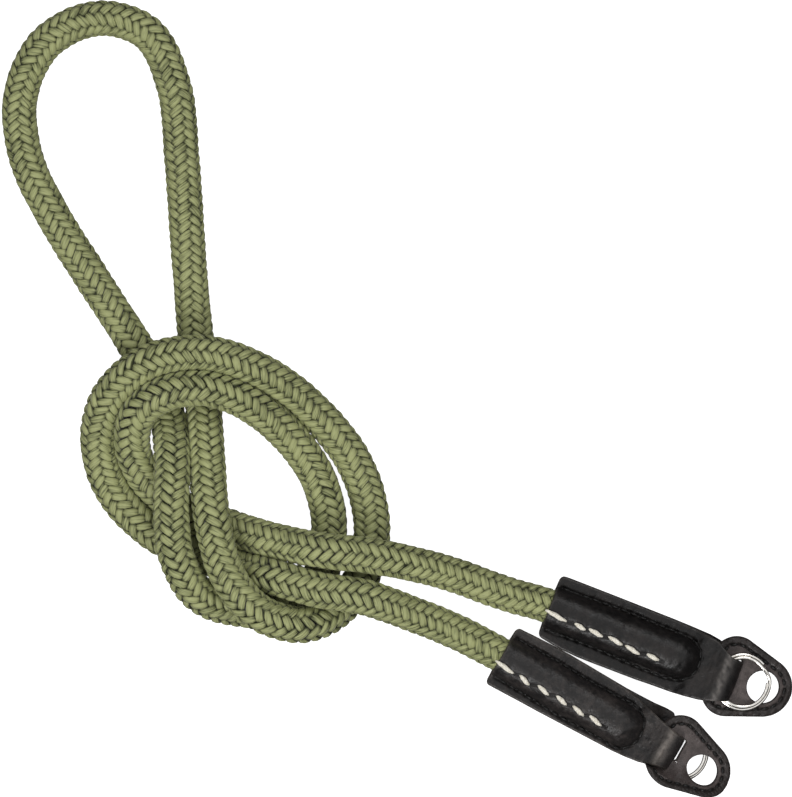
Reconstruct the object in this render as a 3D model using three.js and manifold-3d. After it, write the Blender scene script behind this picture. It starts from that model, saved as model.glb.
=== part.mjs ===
// Camera neck strap: one braided rope, doubled and tied in a loose overhand knot, with a leather sleeve,
// a leather ring guard and a steel split ring at each end. Millimetres, +Z up. It lies on the plane z = 0,
// and the origin is on that plane, under the middle of the two end fittings.
import * as THREE from "three";
import { mergeVertices } from "three/addons/utils/BufferGeometryUtils.js";
import Module from "manifold-3d";

const wasm = await Module();
wasm.setup();

// Clearance left between two pieces that touch on the real strap.
const GAP = 0.3;

// Rope.
const ROPE_DIAMETER = 10;
const ROPE_SIDES = 10;
const ROPE_STEPS = 84;

// Leather sleeve: two layers sewn together along both edges, with the rope between them. Its tongue runs
// on from the rope's end, and its underside is pressed flat where it lies.
const LEATHER = 1.3;
const SLEEVE_LENGTH = 57.8;
const TONGUE_LENGTH = 17.3;
const SLEEVE_HALF_WIDTH = 9.9;
const TONGUE_HALF_WIDTH = 5.5;
const UNDERSIDE_PRESSED = 0.3;
const BULGE_END = 8;
const SEAM_BEHIND_ROPE = 4.6;
const LAYERS_PART_OVER = 4.2;
const POCKET_SIDES = 20;
const BULGE_ANGLES = [0.9, 0.55, 0.24];
const SECTION_MARGIN = 0.4;
const CUT_THROUGH = 1;

// Plan of the sleeve from its mouth: place along it as a share of its length, and half width as a share
// of the step from the tongue's half width to the sleeve's.
const SLEEVE_PLAN = [
  { along: 0, wide: 0.72 },
  { along: 0.02, wide: 0.75 },
  { along: 0.14, wide: 0.86 },
  { along: 0.33, wide: 0.96 },
  { along: 0.5, wide: 1 },
  { along: 0.66, wide: 0.92 },
  { along: 0.76, wide: 0.74 },
  { along: 0.83, wide: 0.52 },
  { along: 0.89, wide: 0.24 },
  { along: 0.94, wide: 0 },
  { along: 1, wide: 0 },
];

// Ring guard: a pear-shaped leather plate with a slot for the tongue and a hole for the lug.
const GUARD_THICKNESS = 1.8;
const GUARD_CORNER_RADIUS = 5.8;
const GUARD_HALF_WIDTH = 11.5;
const GUARD_TIP_RADIUS = 8.2;
const GUARD_HOLE_FROM_BASE = 15.8;
const GUARD_HOLE_RADIUS = 4.6;
const GUARD_BRIDGE = 4.5;
const GUARD_SLOT_WIDTH = 3.9;
const GUARD_EDGE_BEVEL = 0.3;

// Split ring: two turns of flat wire, one on the other, with a short step between them.
const RING_OUTER_RADIUS = 8.35;
const RING_WIRE_WIDTH = 1.6;
const RING_WIRE_HEIGHT = 0.8;
const RING_TURN_GAP = 0.1;
const RING_STEP_ANGLE = THREE.MathUtils.degToRad(40);
const RING_STEPS = 60;

// End fittings: where each sleeve's mouth is, the way it points, and how its tongue's load is stacked.
// The second one is the same fitting turned over, so its ring lies under its guard.
const FITTINGS = [
  {
    name: "a", mouth: [-25.7, 23.7], heading: -21.5, guardOnTop: false,
    guardSlide: 0, ringSlide: 1.7, ringSide: 0, ringTurn: 60,
  },
  {
    name: "b", mouth: [-39.4, 9.7], heading: -30, guardOnTop: true,
    guardSlide: 0.6, ringSlide: 0.9, ringSide: 0.4, ringTurn: 200,
  },
];

// The rope's centre line, chosen by hand from one sleeve's inside to the other's.
const ROPE_ROUTE = [
  // out of the first sleeve, and up over both right-hand bands
  [12, 8.9, 6.3], [-6.8, 16.3, 6.3], [-25.7, 23.7, 6.3], [-38.3, 27.2, 6.8], [-54.8, 32.9, 10],
  [-68.8, 36.3, 14.2], [-79.1, 38.4, 15.8], [-89.4, 39.9, 15.8], [-103.7, 42.8, 10.6],
  // under both middle strands, up the inner left band and over the top of the knot
  [-118.6, 47.2, 5], [-131.1, 51.6, 5], [-139.7, 58.6, 5.3], [-144.4, 68.6, 8.6], [-142.8, 78.3, 13.2],
  [-136, 83.9, 15.9], [-124.3, 86, 15.9], [-112.4, 81.9, 12.9], [-100.5, 72.4, 7.6],
  // down the inner right band, under both free ends, and round the bottom
  [-91.2, 59.7, 5], [-88.5, 45.4, 5], [-91.9, 31.2, 5], [-102.6, 23.6, 5], [-114.2, 22.7, 5.3],
  // up over the left-hand bands and down under the top of the knot
  [-125.6, 26.9, 10.6], [-131.5, 37.9, 15.8], [-133.4, 51.2, 16], [-133.3, 64.3, 12.6],
  [-134.6, 77.4, 5.8], [-141.2, 93.3, 5],
  // the long loop that goes round the neck
  [-155.7, 116.5, 5], [-167.3, 135.1, 5], [-175.2, 152, 5], [-176.7, 169.7, 5], [-169.4, 184.8, 5],
  [-154.6, 191.7, 5], [-140.4, 187.4, 5], [-133, 172.6, 5], [-130.6, 151.2, 5], [-128.7, 124, 5],
  [-126.5, 98.3, 5], [-124.3, 83.2, 5.2],
  // the second middle strand, over both free ends and round the bottom
  [-122.8, 66, 10.4], [-121.2, 48.9, 15.9], [-117, 32.7, 16.2], [-108.5, 22.2, 15.6],
  [-95.5, 18.6, 12.4], [-84.4, 23.8, 6],
  // up the outer right band, over the top of the knot and down the outer left band
  [-77.6, 36, 5], [-76.2, 49.7, 5], [-82.1, 65.6, 5], [-95, 82.3, 7.6], [-109.6, 92.3, 13],
  [-124.8, 96.4, 15.6], [-140.3, 93.4, 15.6], [-151.4, 84, 12.2], [-154.8, 70.9, 7.4],
  [-151, 56.6, 5],
  // under both middle strands, over both right-hand bands and into the second sleeve
  [-139.5, 43.6, 5], [-126, 38.3, 5], [-114.3, 35.2, 5], [-103.7, 31.9, 13], [-91.1, 28.4, 15.9],
  [-78.6, 26.7, 15.8], [-64.8, 21.7, 11.6], [-52, 16.3, 7.6], [-39.4, 9.7, 6.3],
  [-21.9, -0.4, 6.3], [-4.3, -10.5, 6.3],
];

const leather = new THREE.MeshStandardMaterial({ color: 0x221d1c, roughness: 0.42, metalness: 0 });
const guardLeather = new THREE.MeshStandardMaterial({ color: 0x2d2523, roughness: 0.6, metalness: 0 });
const cord = new THREE.MeshStandardMaterial({ color: 0x6f7550, roughness: 0.8, metalness: 0 });
const steel = new THREE.MeshStandardMaterial({ color: 0xc9c7c2, roughness: 0.2, metalness: 1 });

// Sizes that follow from the ones above.
const pocketRadius = (ROPE_DIAMETER / 2 + GAP) / Math.cos(Math.PI / POCKET_SIDES);
const bulgeRadius = ROPE_DIAMETER / 2 + GAP + LEATHER;
const ropeHeight = bulgeRadius - UNDERSIDE_PRESSED;
const ropeInSleeve = SLEEVE_LENGTH - TONGUE_LENGTH;
const ringHeight = 2 * RING_WIRE_HEIGHT + RING_TURN_GAP;
const foldInner = (GUARD_THICKNESS + ringHeight + 4 * GAP) / 2;
const foldOuter = foldInner + LEATHER;
const foldStart = SLEEVE_LENGTH - foldOuter;
const seamStart = ropeInSleeve + GAP;
const seamEnd = seamStart + SEAM_BEHIND_ROPE;
const layersApart = seamEnd + LAYERS_PART_OVER;

// Joins sections of equally many points into one closed skin. The flat outline, seen from the last
// section's end and running anticlockwise, says how the two end caps are cut into triangles.
function loft(sections, outline) {
  const count = outline.length;
  const index = [];
  for (let i = 0; i + 1 < sections.length; i += 1) {
    for (let j = 0; j < count; j += 1) {
      const next = (j + 1) % count;
      const [near, far] = [i * count, (i + 1) * count];
      index.push(near + j, near + next, far + next, near + j, far + next, far + j);
    }
  }
  const last = (sections.length - 1) * count;
  for (const [a, b, c] of THREE.ShapeUtils.triangulateShape(outline, [])) {
    index.push(a, c, b, last + a, last + b, last + c);
  }
  const geometry = new THREE.BufferGeometry();
  geometry.setAttribute("position", new THREE.Float32BufferAttribute(sections.flat(2), 3));
  geometry.setIndex(index);
  return geometry;
}

// A closed mesh as a solid that can be cut and joined.
function solidOf(geometry) {
  const bare = geometry.clone();
  bare.deleteAttribute("normal");
  bare.deleteAttribute("uv");
  const merged = mergeVertices(bare, 1e-5);
  return new wasm.Manifold(new wasm.Mesh({
    numProp: 3,
    vertProperties: new Float32Array(merged.attributes.position.array),
    triVerts: new Uint32Array(merged.index.array),
  }));
}

// A solid as a mesh again.
function geometryOf(solid) {
  const mesh = solid.getMesh();
  const geometry = new THREE.BufferGeometry();
  geometry.setAttribute("position", new THREE.BufferAttribute(new Float32Array(mesh.vertProperties), 3));
  geometry.setIndex(new THREE.BufferAttribute(new Uint32Array(mesh.triVerts), 1));
  geometry.computeVertexNormals();
  return geometry;
}

// A named value read between two rows of a table whose first column rises.
function between(table, key, value, wanted) {
  const next = Math.max(1, table.findIndex((row) => row[key] >= value));
  const high = table[Math.min(next, table.length - 1)];
  const low = table[Math.min(next, table.length - 1) - 1];
  const share = THREE.MathUtils.clamp((value - low[key]) / (high[key] - low[key]), 0, 1);
  return THREE.MathUtils.lerp(low[wanted], high[wanted], share);
}

// Half the sleeve's width at a place along it.
function halfWidth(along) {
  const wide = between(SLEEVE_PLAN, "along", along / SLEEVE_LENGTH, "wide");
  return THREE.MathUtils.lerp(TONGUE_HALF_WIDTH, SLEEVE_HALF_WIDTH, wide);
}

// Height of the plane between the two layers: at the rope's centre, then down to the tongue's middle.
function middle(along) {
  const share = THREE.MathUtils.smoothstep(along, seamStart, layersApart);
  return THREE.MathUtils.lerp(ropeHeight, foldOuter, share);
}

// Half the thickness of the sewn edge, and of the tongue once the layers part round guard and ring.
function halfThickness(along) {
  if (along > foldStart) {
    return Math.sqrt(Math.max(0, foldOuter ** 2 - (along - foldStart) ** 2));
  }
  const share = THREE.MathUtils.smoothstep(along, seamEnd - SEAM_BEHIND_ROPE / 4, layersApart);
  return THREE.MathUtils.lerp(LEATHER, foldOuter, share);
}

// Radius of the rope's bulge, which rounds off behind the rope's end.
function bulge(along) {
  const start = ropeInSleeve - BULGE_END / 4;
  const share = THREE.MathUtils.clamp((along - start) / BULGE_END, 0, 1);
  return bulgeRadius * Math.sqrt(1 - share ** 2);
}

// One section of the sleeve's skin: a bulge round the rope between two flat sewn edges. The underside is
// pressed flat where it lies on the surface.
function sleeveSection(along) {
  const flatAngle = Math.asin(ropeHeight / bulgeRadius);
  const angles = [Math.PI / 2, flatAngle, ...BULGE_ANGLES];
  const [centre, edge, width, radius] = [middle(along), halfThickness(along), halfWidth(along), bulge(along)];
  const spread = Math.max(radius / bulgeRadius, 0.35) * bulgeRadius;
  const reach = Math.min(spread, width - LEATHER);
  const half = angles.map((angle) => [Math.cos(angle) * reach, Math.max(edge, Math.sin(angle) * radius)]);
  half.push([(reach + width) / 2, edge], [width, edge]);
  const top = half.map(([y, up]) => [y, centre + up]);
  const bottom = half.map(([y, down]) => [y, Math.max(0, centre - down)]);
  const mirrored = (points) => points.slice(1).map(([y, z]) => [-y, z]);
  const ring = [
    ...bottom, ...top.toReversed(), ...mirrored(top), ...mirrored(bottom).toReversed(),
  ];
  return ring.map(([y, z]) => [along, y, z]);
}

// The whole sleeve with its tongue: the skin, less the rope's pocket and the space inside the fold.
function sleeveGeometry() {
  const stations = SLEEVE_PLAN.map((row) => row.along * SLEEVE_LENGTH)
    .filter((along) => along < seamStart - 5 * SECTION_MARGIN);
  stations.push(seamStart - 3 * SECTION_MARGIN);
  for (let i = 0; i <= 6; i += 1) {
    stations.push(THREE.MathUtils.lerp(seamStart + SECTION_MARGIN, seamEnd - SECTION_MARGIN / 2, i / 6));
  }
  for (let i = 1; i <= 5; i += 1) {
    stations.push(THREE.MathUtils.lerp(seamEnd - SECTION_MARGIN / 2, layersApart, i / 5));
  }
  for (let i = 0; i <= 7; i += 1) {
    stations.push(foldStart + foldOuter * Math.sin((Math.PI / 2) * (i / 7)) * 0.998);
  }
  const sections = stations.map(sleeveSection);
  const mouth = sections[0].map(([, y, z]) => new THREE.Vector2(y, z));
  const skin = solidOf(loft(sections, mouth));

  const pocketLength = seamStart + CUT_THROUGH;
  const pocket = new THREE.CylinderGeometry(pocketRadius, pocketRadius, pocketLength, POCKET_SIDES);
  pocket.rotateZ(Math.PI / 2);
  pocket.translate(pocketLength / 2 - CUT_THROUGH, 0, ropeHeight);

  const profile = new THREE.Shape();
  const rise = [];
  for (let i = 0; i <= 5; i += 1) {
    const along = THREE.MathUtils.lerp(seamEnd + SECTION_MARGIN, layersApart, i / 5);
    rise.push([along, middle(along), Math.max(0, halfThickness(along) - LEATHER)]);
  }
  rise.forEach(([along, centre, up], i) => {
    if (i === 0) {
      profile.moveTo(along, centre);
    } else {
      profile.lineTo(along, centre - up);
    }
  });
  profile.absarc(foldStart, foldOuter, foldInner, -Math.PI / 2, Math.PI / 2, false);
  rise.slice(1).toReversed().forEach(([along, centre, up]) => profile.lineTo(along, centre + up));
  const across = 2 * (SLEEVE_HALF_WIDTH + CUT_THROUGH);
  const window = new THREE.ExtrudeGeometry(profile, { depth: across, bevelEnabled: false, curveSegments: 12 });
  window.rotateX(Math.PI / 2);
  window.translate(0, across / 2, 0);
  return geometryOf(skin.subtract(solidOf(pocket)).subtract(solidOf(window)));
}

// The guard's plate, from its base at x = 0, with a bevelled rim, a round hole and a slot.
function guardGeometry() {
  const corner = new THREE.Vector2(GUARD_CORNER_RADIUS, GUARD_HALF_WIDTH - GUARD_CORNER_RADIUS);
  const tip = new THREE.Vector2(GUARD_HOLE_FROM_BASE, 0);
  const toTip = tip.clone().sub(corner);
  const side = Math.atan2(toTip.y, toTip.x)
    + Math.acos((GUARD_CORNER_RADIUS - GUARD_TIP_RADIUS) / toTip.length());
  const inset = GUARD_EDGE_BEVEL;
  const plate = new THREE.Shape();
  plate.absarc(corner.x, corner.y, GUARD_CORNER_RADIUS - inset, Math.PI, side, true);
  plate.absarc(tip.x, tip.y, GUARD_TIP_RADIUS - inset, side, -side, true);
  plate.absarc(corner.x, -corner.y, GUARD_CORNER_RADIUS - inset, -side, -Math.PI, true);

  const hole = new THREE.Path();
  hole.absarc(tip.x, tip.y, GUARD_HOLE_RADIUS + inset, 0, 2 * Math.PI, false);
  const slotHalf = TONGUE_HALF_WIDTH + 2 * GAP + inset;
  const slot = new THREE.Path();
  slot.moveTo(GUARD_BRIDGE - inset, -slotHalf);
  slot.lineTo(GUARD_BRIDGE + GUARD_SLOT_WIDTH + inset, -slotHalf);
  slot.lineTo(GUARD_BRIDGE + GUARD_SLOT_WIDTH + inset, slotHalf);
  slot.lineTo(GUARD_BRIDGE - inset, slotHalf);
  slot.closePath();
  plate.holes.push(hole, slot);
  const geometry = new THREE.ExtrudeGeometry(plate, {
    depth: GUARD_THICKNESS - 2 * inset,
    bevelThickness: inset,
    bevelSize: inset,
    bevelSegments: 1,
    curveSegments: 14,
  });
  geometry.translate(0, 0, inset);
  return geometry;
}

// The split ring: a flat wire carried round twice, with its step up between the turns.
function ringGeometry(turn) {
  const radius = RING_OUTER_RADIUS - RING_WIRE_WIDTH / 2;
  const whole = 4 * Math.PI - RING_STEP_ANGLE;
  const stepAt = (whole - RING_STEP_ANGLE) / 2;
  // the wire's section with its edges taken off: in from its centre, and up from its underside
  const [w, h] = [RING_WIRE_WIDTH / 2, RING_WIRE_HEIGHT];
  const section = [[w, h / 2], [w / 2, h], [-w / 2, h], [-w, h / 2], [-w / 2, 0], [w / 2, 0]];
  const sections = [];
  for (let i = 0; i <= RING_STEPS; i += 1) {
    const angle = (whole * i) / RING_STEPS;
    const up = THREE.MathUtils.smoothstep(angle, stepAt, stepAt + RING_STEP_ANGLE)
      * (RING_WIRE_HEIGHT + RING_TURN_GAP);
    const [c, s] = [Math.cos(angle + turn), Math.sin(angle + turn)];
    sections.push(section.map(([within, high]) => [(radius - within) * c, (radius - within) * s, high + up]));
  }
  return loft(sections, section.map(([within, high]) => new THREE.Vector2(within, high)));
}

// The rope's centre line, which nowhere sinks below a rope's radius over the surface it lies on.
class LaidRoute extends THREE.CatmullRomCurve3 {
  getPoint(t, target) {
    const point = super.getPoint(t, target);
    point.z = Math.max(point.z, ROPE_DIAMETER / 2);
    return point;
  }
}

// The rope: a round section carried along its route.
function ropeGeometry() {
  const radius = ROPE_DIAMETER / 2;
  const section = new THREE.Shape();
  for (let i = 0; i < ROPE_SIDES; i += 1) {
    const angle = (2 * Math.PI * i) / ROPE_SIDES;
    const [x, y] = [radius * Math.cos(angle), radius * Math.sin(angle)];
    if (i === 0) {
      section.moveTo(x, y);
    } else {
      section.lineTo(x, y);
    }
  }
  section.closePath();
  const route = new LaidRoute(ROPE_ROUTE.map((point) => new THREE.Vector3(...point)));
  route.arcLengthDivisions = ROPE_STEPS * ROPE_ROUTE.length;
  return new THREE.ExtrudeGeometry(section, { steps: ROPE_STEPS, extrudePath: route });
}

// A named piece of the strap.
function piece(name, geometry, material) {
  const mesh = new THREE.Mesh(geometry, material);
  mesh.name = name;
  return mesh;
}

// One end fitting: the sleeve, and the guard and ring that its tongue holds.
function fitting(spec) {
  const group = new THREE.Group();
  group.add(piece(`sleeve_${spec.name}`, sleeveGeometry(), leather));

  // Guard and ring lean on each other, from the tongue's fold down to the surface they lie on.
  const held = new THREE.Group();
  const pivot = (layersApart + foldStart) / 2;
  const above = LEATHER + 1.5 * GAP;
  const guardAlong = layersApart + GAP - pivot + spec.guardSlide;
  const ringAlong = SLEEVE_LENGTH - pivot + spec.ringSlide;
  const guardEnd = guardAlong + GUARD_HOLE_FROM_BASE + GUARD_TIP_RADIUS;
  const lowerEnd = spec.guardOnTop ? ringAlong + RING_OUTER_RADIUS : guardEnd;
  held.position.set(pivot, 0, above);
  held.rotation.y = Math.asin(above / lowerEnd);

  const guard = piece(`guard_${spec.name}`, guardGeometry(), guardLeather);
  guard.position.set(guardAlong, 0, spec.guardOnTop ? ringHeight + GAP : 0);
  const ring = piece(`ring_${spec.name}`, ringGeometry(THREE.MathUtils.degToRad(spec.ringTurn)), steel);
  ring.position.set(ringAlong, spec.ringSide, spec.guardOnTop ? 0 : GUARD_THICKNESS + GAP);
  held.add(guard, ring);
  group.add(held);

  group.position.set(spec.mouth[0], spec.mouth[1], 0);
  group.rotation.z = THREE.MathUtils.degToRad(spec.heading);
  return group;
}

const strap = new THREE.Group();
const fittings = new THREE.Group();
fittings.add(...FITTINGS.map(fitting));
strap.add(fittings, piece("rope", ropeGeometry(), cord));

// Puts the origin under the middle of the two fittings.
fittings.updateMatrixWorld(true);
const footprint = new THREE.Box3().setFromObject(fittings, true);
const centre = footprint.getCenter(new THREE.Vector3());
strap.position.set(-centre.x, -centre.y, 0);

export default strap;
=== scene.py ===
"""A camera neck strap of braided rope, tied in a loose knot, with a sewn leather fitting on each end.

Every piece is a surface worked out with numpy in metres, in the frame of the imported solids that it
stands for. Lengths are written in millimetres and turned into metres by the name MM.
"""

import logging
import math
from dataclasses import dataclass, field
from enum import Enum
from typing import Any

import bpy
import numpy as np
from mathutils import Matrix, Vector
from mathutils.geometry import delaunay_2d_cdt


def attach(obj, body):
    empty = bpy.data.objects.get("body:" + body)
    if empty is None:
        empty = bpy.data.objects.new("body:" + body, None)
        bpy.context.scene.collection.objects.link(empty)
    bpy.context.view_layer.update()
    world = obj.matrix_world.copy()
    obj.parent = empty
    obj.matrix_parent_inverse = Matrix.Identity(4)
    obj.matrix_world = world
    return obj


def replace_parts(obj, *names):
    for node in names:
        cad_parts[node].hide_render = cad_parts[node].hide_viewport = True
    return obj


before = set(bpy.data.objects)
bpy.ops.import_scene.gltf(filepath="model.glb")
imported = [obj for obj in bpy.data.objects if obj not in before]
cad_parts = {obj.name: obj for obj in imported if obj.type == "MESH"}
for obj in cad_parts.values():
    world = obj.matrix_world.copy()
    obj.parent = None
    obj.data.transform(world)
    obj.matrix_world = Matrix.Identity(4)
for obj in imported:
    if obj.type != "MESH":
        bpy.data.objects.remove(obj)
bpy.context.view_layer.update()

MM = 0.001
BODY = "root"
LOG = logging.getLogger("neck_strap")

Colour = tuple[float, float, float]
Rows = tuple[tuple[float, ...], ...]


class Slot(Enum):
    """The record's material slots."""

    ROPE = "rope"
    SLEEVE = "sleeve_leather"
    GUARD = "guard_leather"
    STEEL = "ring_steel"
    HAND_THREAD = "stitch_thread"
    EDGE_THREAD = "edge_thread"


class Turn(Enum):
    """The way a yarn winds round the rope, seen along it."""

    CLOCKWISE = 1.0
    COUNTER = -1.0


# The rope's centre line in millimetres, from inside the first sleeve to inside the second.
ROPE_ROUTE: Rows = (
    # out of the first sleeve, and up over both right-hand bands
    (12, 8.9, 6.3), (-6.8, 16.3, 6.3), (-25.7, 23.7, 6.3), (-38.3, 27.2, 6.8), (-54.8, 32.9, 10),
    (-68.8, 36.3, 14.2), (-79.1, 38.4, 15.8), (-89.4, 39.9, 15.8), (-103.7, 42.8, 10.6),
    # under both middle strands, up the inner left band and over the top of the knot
    (-118.6, 47.2, 5), (-131.1, 51.6, 5), (-139.7, 58.6, 5.3), (-144.4, 68.6, 8.6), (-142.8, 78.3, 13.2),
    (-136, 83.9, 15.9), (-124.3, 86, 15.9), (-112.4, 81.9, 12.9), (-100.5, 72.4, 7.6),
    # down the inner right band, under both free ends, and round the bottom
    (-91.2, 59.7, 5), (-88.5, 45.4, 5), (-91.9, 31.2, 5), (-102.6, 23.6, 5), (-114.2, 22.7, 5.3),
    # up over the left-hand bands and down under the top of the knot
    (-125.6, 26.9, 10.6), (-131.5, 37.9, 15.8), (-133.4, 51.2, 16), (-133.3, 64.3, 12.6),
    (-134.6, 77.4, 5.8), (-141.2, 93.3, 5),
    # the long loop that goes round the neck
    (-155.7, 116.5, 5), (-167.3, 135.1, 5), (-175.2, 152, 5), (-176.7, 169.7, 5), (-169.4, 184.8, 5),
    (-154.6, 191.7, 5), (-140.4, 187.4, 5), (-133, 172.6, 5), (-130.6, 151.2, 5), (-128.7, 124, 5),
    (-126.5, 98.3, 5), (-124.3, 83.2, 5.2),
    # the second middle strand, over both free ends and round the bottom
    (-122.8, 66, 10.4), (-121.2, 48.9, 15.9), (-117, 32.7, 16.2), (-108.5, 22.2, 15.6),
    (-95.5, 18.6, 12.4), (-84.4, 23.8, 6),
    # up the outer right band, over the top of the knot and down the outer left band
    (-77.6, 36, 5), (-76.2, 49.7, 5), (-82.1, 65.6, 5), (-95, 82.3, 7.6), (-109.6, 92.3, 13),
    (-124.8, 96.4, 15.6), (-140.3, 93.4, 15.6), (-151.4, 84, 12.2), (-154.8, 70.9, 7.4),
    (-151, 56.6, 5),
    # under both middle strands, over both right-hand bands and into the second sleeve
    (-139.5, 43.6, 5), (-126, 38.3, 5), (-114.3, 35.2, 5), (-103.7, 31.9, 13), (-91.1, 28.4, 15.9),
    (-78.6, 26.7, 15.8), (-64.8, 21.7, 11.6), (-52, 16.3, 7.6), (-39.4, 9.7, 6.3),
    (-21.9, -0.4, 6.3), (-4.3, -10.5, 6.3),
)


# How far the braid lies aside of the route's points, by the point's number, in millimetres.
LIES_ASIDE: dict[int, tuple[float, float]] = {
    3: (0.05, 0.15), 4: (0.1, 0.4), 5: (0.15, 0.6), 6: (0.0, 0.3), 7: (0.0, -0.15), 8: (-0.1, -0.35),
    9: (-0.1, -0.4), 16: (0.1, 0.3), 17: (0.2, 0.2), 18: (-0.2, -0.2), 22: (0.1, 0.2), 23: (0.3, 0.2), 25: (0.25, 0.0),
    26: (0.25, 0.0), 40: (-0.4, 0.0), 41: (-0.45, 0.0), 42: (-0.35, 0.0), 44: (0.0, 0.3),
    45: (0.0, 0.15), 46: (-0.25, 0.25), 48: (-0.35, 0.0), 49: (0.2, 0.15), 50: (-0.45, -0.5),
    51: (-0.35, -0.7), 52: (0.0, -0.5), 53: (0.2, -0.35), 54: (0.5, -0.4), 55: (0.4, 0.0),
    56: (0.6, 0.3), 57: (0.85, 1.1), 58: (0.1, 0.3), 60: (0.0, 0.35), 61: (0.0, 0.3),
}


def moved_aside(route: Rows, shifts: dict[int, tuple[float, float]]) -> Rows:
    """The route with some of its points moved in plan."""
    moved = np.array(route, float)
    moved[list(shifts), :2] += np.array(list(shifts.values()))
    return tuple(map(tuple, moved.tolist()))


def ease(low: float, high: float, value: np.ndarray | float) -> np.ndarray:
    """A smooth step: nought up to low, one from high, and 3t^2 - 2t^3 of the share between."""
    share = np.clip((np.asarray(value, float) - low) / (high - low), 0.0, 1.0)
    return share * share * (3.0 - 2.0 * share)


def higher(first: np.ndarray, second: np.ndarray, blend: float) -> np.ndarray:
    """The higher of two heights, with a fillet: their maximum plus a parabola where they cross.

    Args:
        first: Heights of the first form.
        second: Heights of the second form.
        blend: Difference in height below which the fillet works.

    Returns:
        The joined heights.
    """
    near = np.maximum(blend - np.abs(first - second), 0.0) / blend
    return np.maximum(first, second) + near * near * blend / 4.0


def unit(vectors: np.ndarray) -> np.ndarray:
    """Vectors of length one, along the last axis."""
    return vectors / np.maximum(np.linalg.norm(vectors, axis=-1, keepdims=True), 1e-12)


def ripple(x: np.ndarray, y: np.ndarray, length: float, seed: int) -> np.ndarray:
    """Soft waves over a plane: the mean of six sines whose directions and phases come from a seed.

    Args:
        x: First coordinate of each point.
        y: Second coordinate of each point.
        length: The waves' mean length, in the unit of x and y.
        seed: Chooses directions, lengths and phases.

    Returns:
        Heights from about -1 to 1.
    """
    draw = np.random.default_rng(seed)
    turns = draw.uniform(0, 2 * np.pi, 6)
    steps = 2 * np.pi / (length * draw.uniform(0.6, 1.6, 6))
    phases = draw.uniform(0, 2 * np.pi, 6)
    inner = (
        np.multiply.outer(x, np.cos(turns) * steps)
        + np.multiply.outer(y, np.sin(turns) * steps)
        + phases
    )
    return np.sin(inner).mean(-1) * 1.8


@dataclass
class Patch:
    """One stretch of surface: a grid of points, and numbers that its material reads.

    Attributes:
        points: Grid of points, rows by columns by three, in metres.
        round_rows: Whether the last row joins the first.
        round_columns: Whether the last column joins the first.
        capped: Whether the first and last row are closed with a face.
        values: Grids of numbers or vectors, by the attribute's name.
    """

    points: np.ndarray
    round_rows: bool = False
    round_columns: bool = True
    capped: bool = True
    values: dict[str, np.ndarray] = field(default_factory=dict)

    def faces(self) -> list[list[int]]:
        """The grid's faces as lists of point numbers, turned so that a closed patch faces outwards."""
        rows, columns = self.points.shape[:2]
        number = np.arange(rows * columns).reshape(rows, columns)
        if self.round_rows:
            number = np.vstack([number, number[:1]])
        if self.round_columns:
            number = np.hstack([number, number[:, :1]])
        corners = (number[:-1, :-1], number[:-1, 1:], number[1:, 1:], number[1:, :-1])
        quads = np.stack(corners, -1).reshape(-1, 4)
        found = quads.tolist()
        if self.capped:
            found.append(np.arange(columns)[::-1].tolist())
            found.append((np.arange(columns) + (rows - 1) * columns).tolist())
        if self.volume(quads) < 0:
            found = [face[::-1] for face in found]
        return found

    def volume(self, quads: np.ndarray) -> float:
        """Twice the space that the quads enclose round their middle, with the sign of their turn."""
        flat = self.points.reshape(-1, 3)
        flat = flat - flat.mean(0)
        a, b, c, d = (flat[quads[:, i]] for i in range(4))
        return float(np.einsum("ij,ij->i", np.cross(c - a, d - b), a + b + c + d).sum())


@dataclass
class Skin:
    """A mesh in the making: patches, and loose triangles, that become one object."""

    name: str
    patches: list[Patch] = field(default_factory=list)

    def build(self, finish: bpy.types.Material, slot: Slot, merge: float = 0.0) -> bpy.types.Object:
        """Puts the patches into one mesh that rides on the strap's body.

        Args:
            finish: The material that it gets.
            slot: Not used.
            merge: Distance in metres under which points become one.

        Returns:
            The new object.
        """
        points = np.concatenate([patch.points.reshape(-1, 3) for patch in self.patches])
        faces: list[list[int]] = []
        first = 0
        for patch in self.patches:
            faces += [[first + corner for corner in face] for face in patch.faces()]
            first += patch.points.shape[0] * patch.points.shape[1]
        mesh = bpy.data.meshes.new(self.name)
        mesh.from_pydata(points.tolist(), [], faces)
        for key in self.patches[0].values:
            whole = np.concatenate([self.spread(patch, key) for patch in self.patches])
            kind = "FLOAT_VECTOR" if whole.ndim == 2 else "FLOAT"
            layer = mesh.attributes.new(key, kind, "POINT")
            field_name = "vector" if whole.ndim == 2 else "value"
            layer.data.foreach_set(field_name, whole.astype(np.float32).ravel())
        mesh.polygons.foreach_set("use_smooth", np.ones(len(mesh.polygons), bool))
        mesh.materials.append(finish)
        made = bpy.data.objects.new(self.name, mesh)
        bpy.context.scene.collection.objects.link(made)
        if merge:
            weld(mesh, merge)
        mesh.validate()
        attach(made, BODY)
        LOG.info("%s: %d faces", self.name, len(mesh.polygons))
        return made

    @staticmethod
    def spread(patch: Patch, key: str) -> np.ndarray:
        """One attribute of a patch as a flat list, in the order of its points."""
        value = patch.values[key]
        count = patch.points.shape[0] * patch.points.shape[1]
        return value.reshape(count, 3) if value.ndim == 3 else value.reshape(count)


def weld(mesh: bpy.types.Mesh, distance: float) -> None:
    """Makes points that lie closer than a distance one, and turns the faces outwards.

    Args:
        mesh: The mesh to mend.
        distance: Distance in metres.
    """
    import bmesh

    loose = bmesh.new()
    loose.from_mesh(mesh)
    bmesh.ops.remove_doubles(loose, verts=loose.verts, dist=distance)
    bmesh.ops.recalc_face_normals(loose, faces=loose.faces)
    loose.to_mesh(mesh)
    loose.free()


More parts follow.
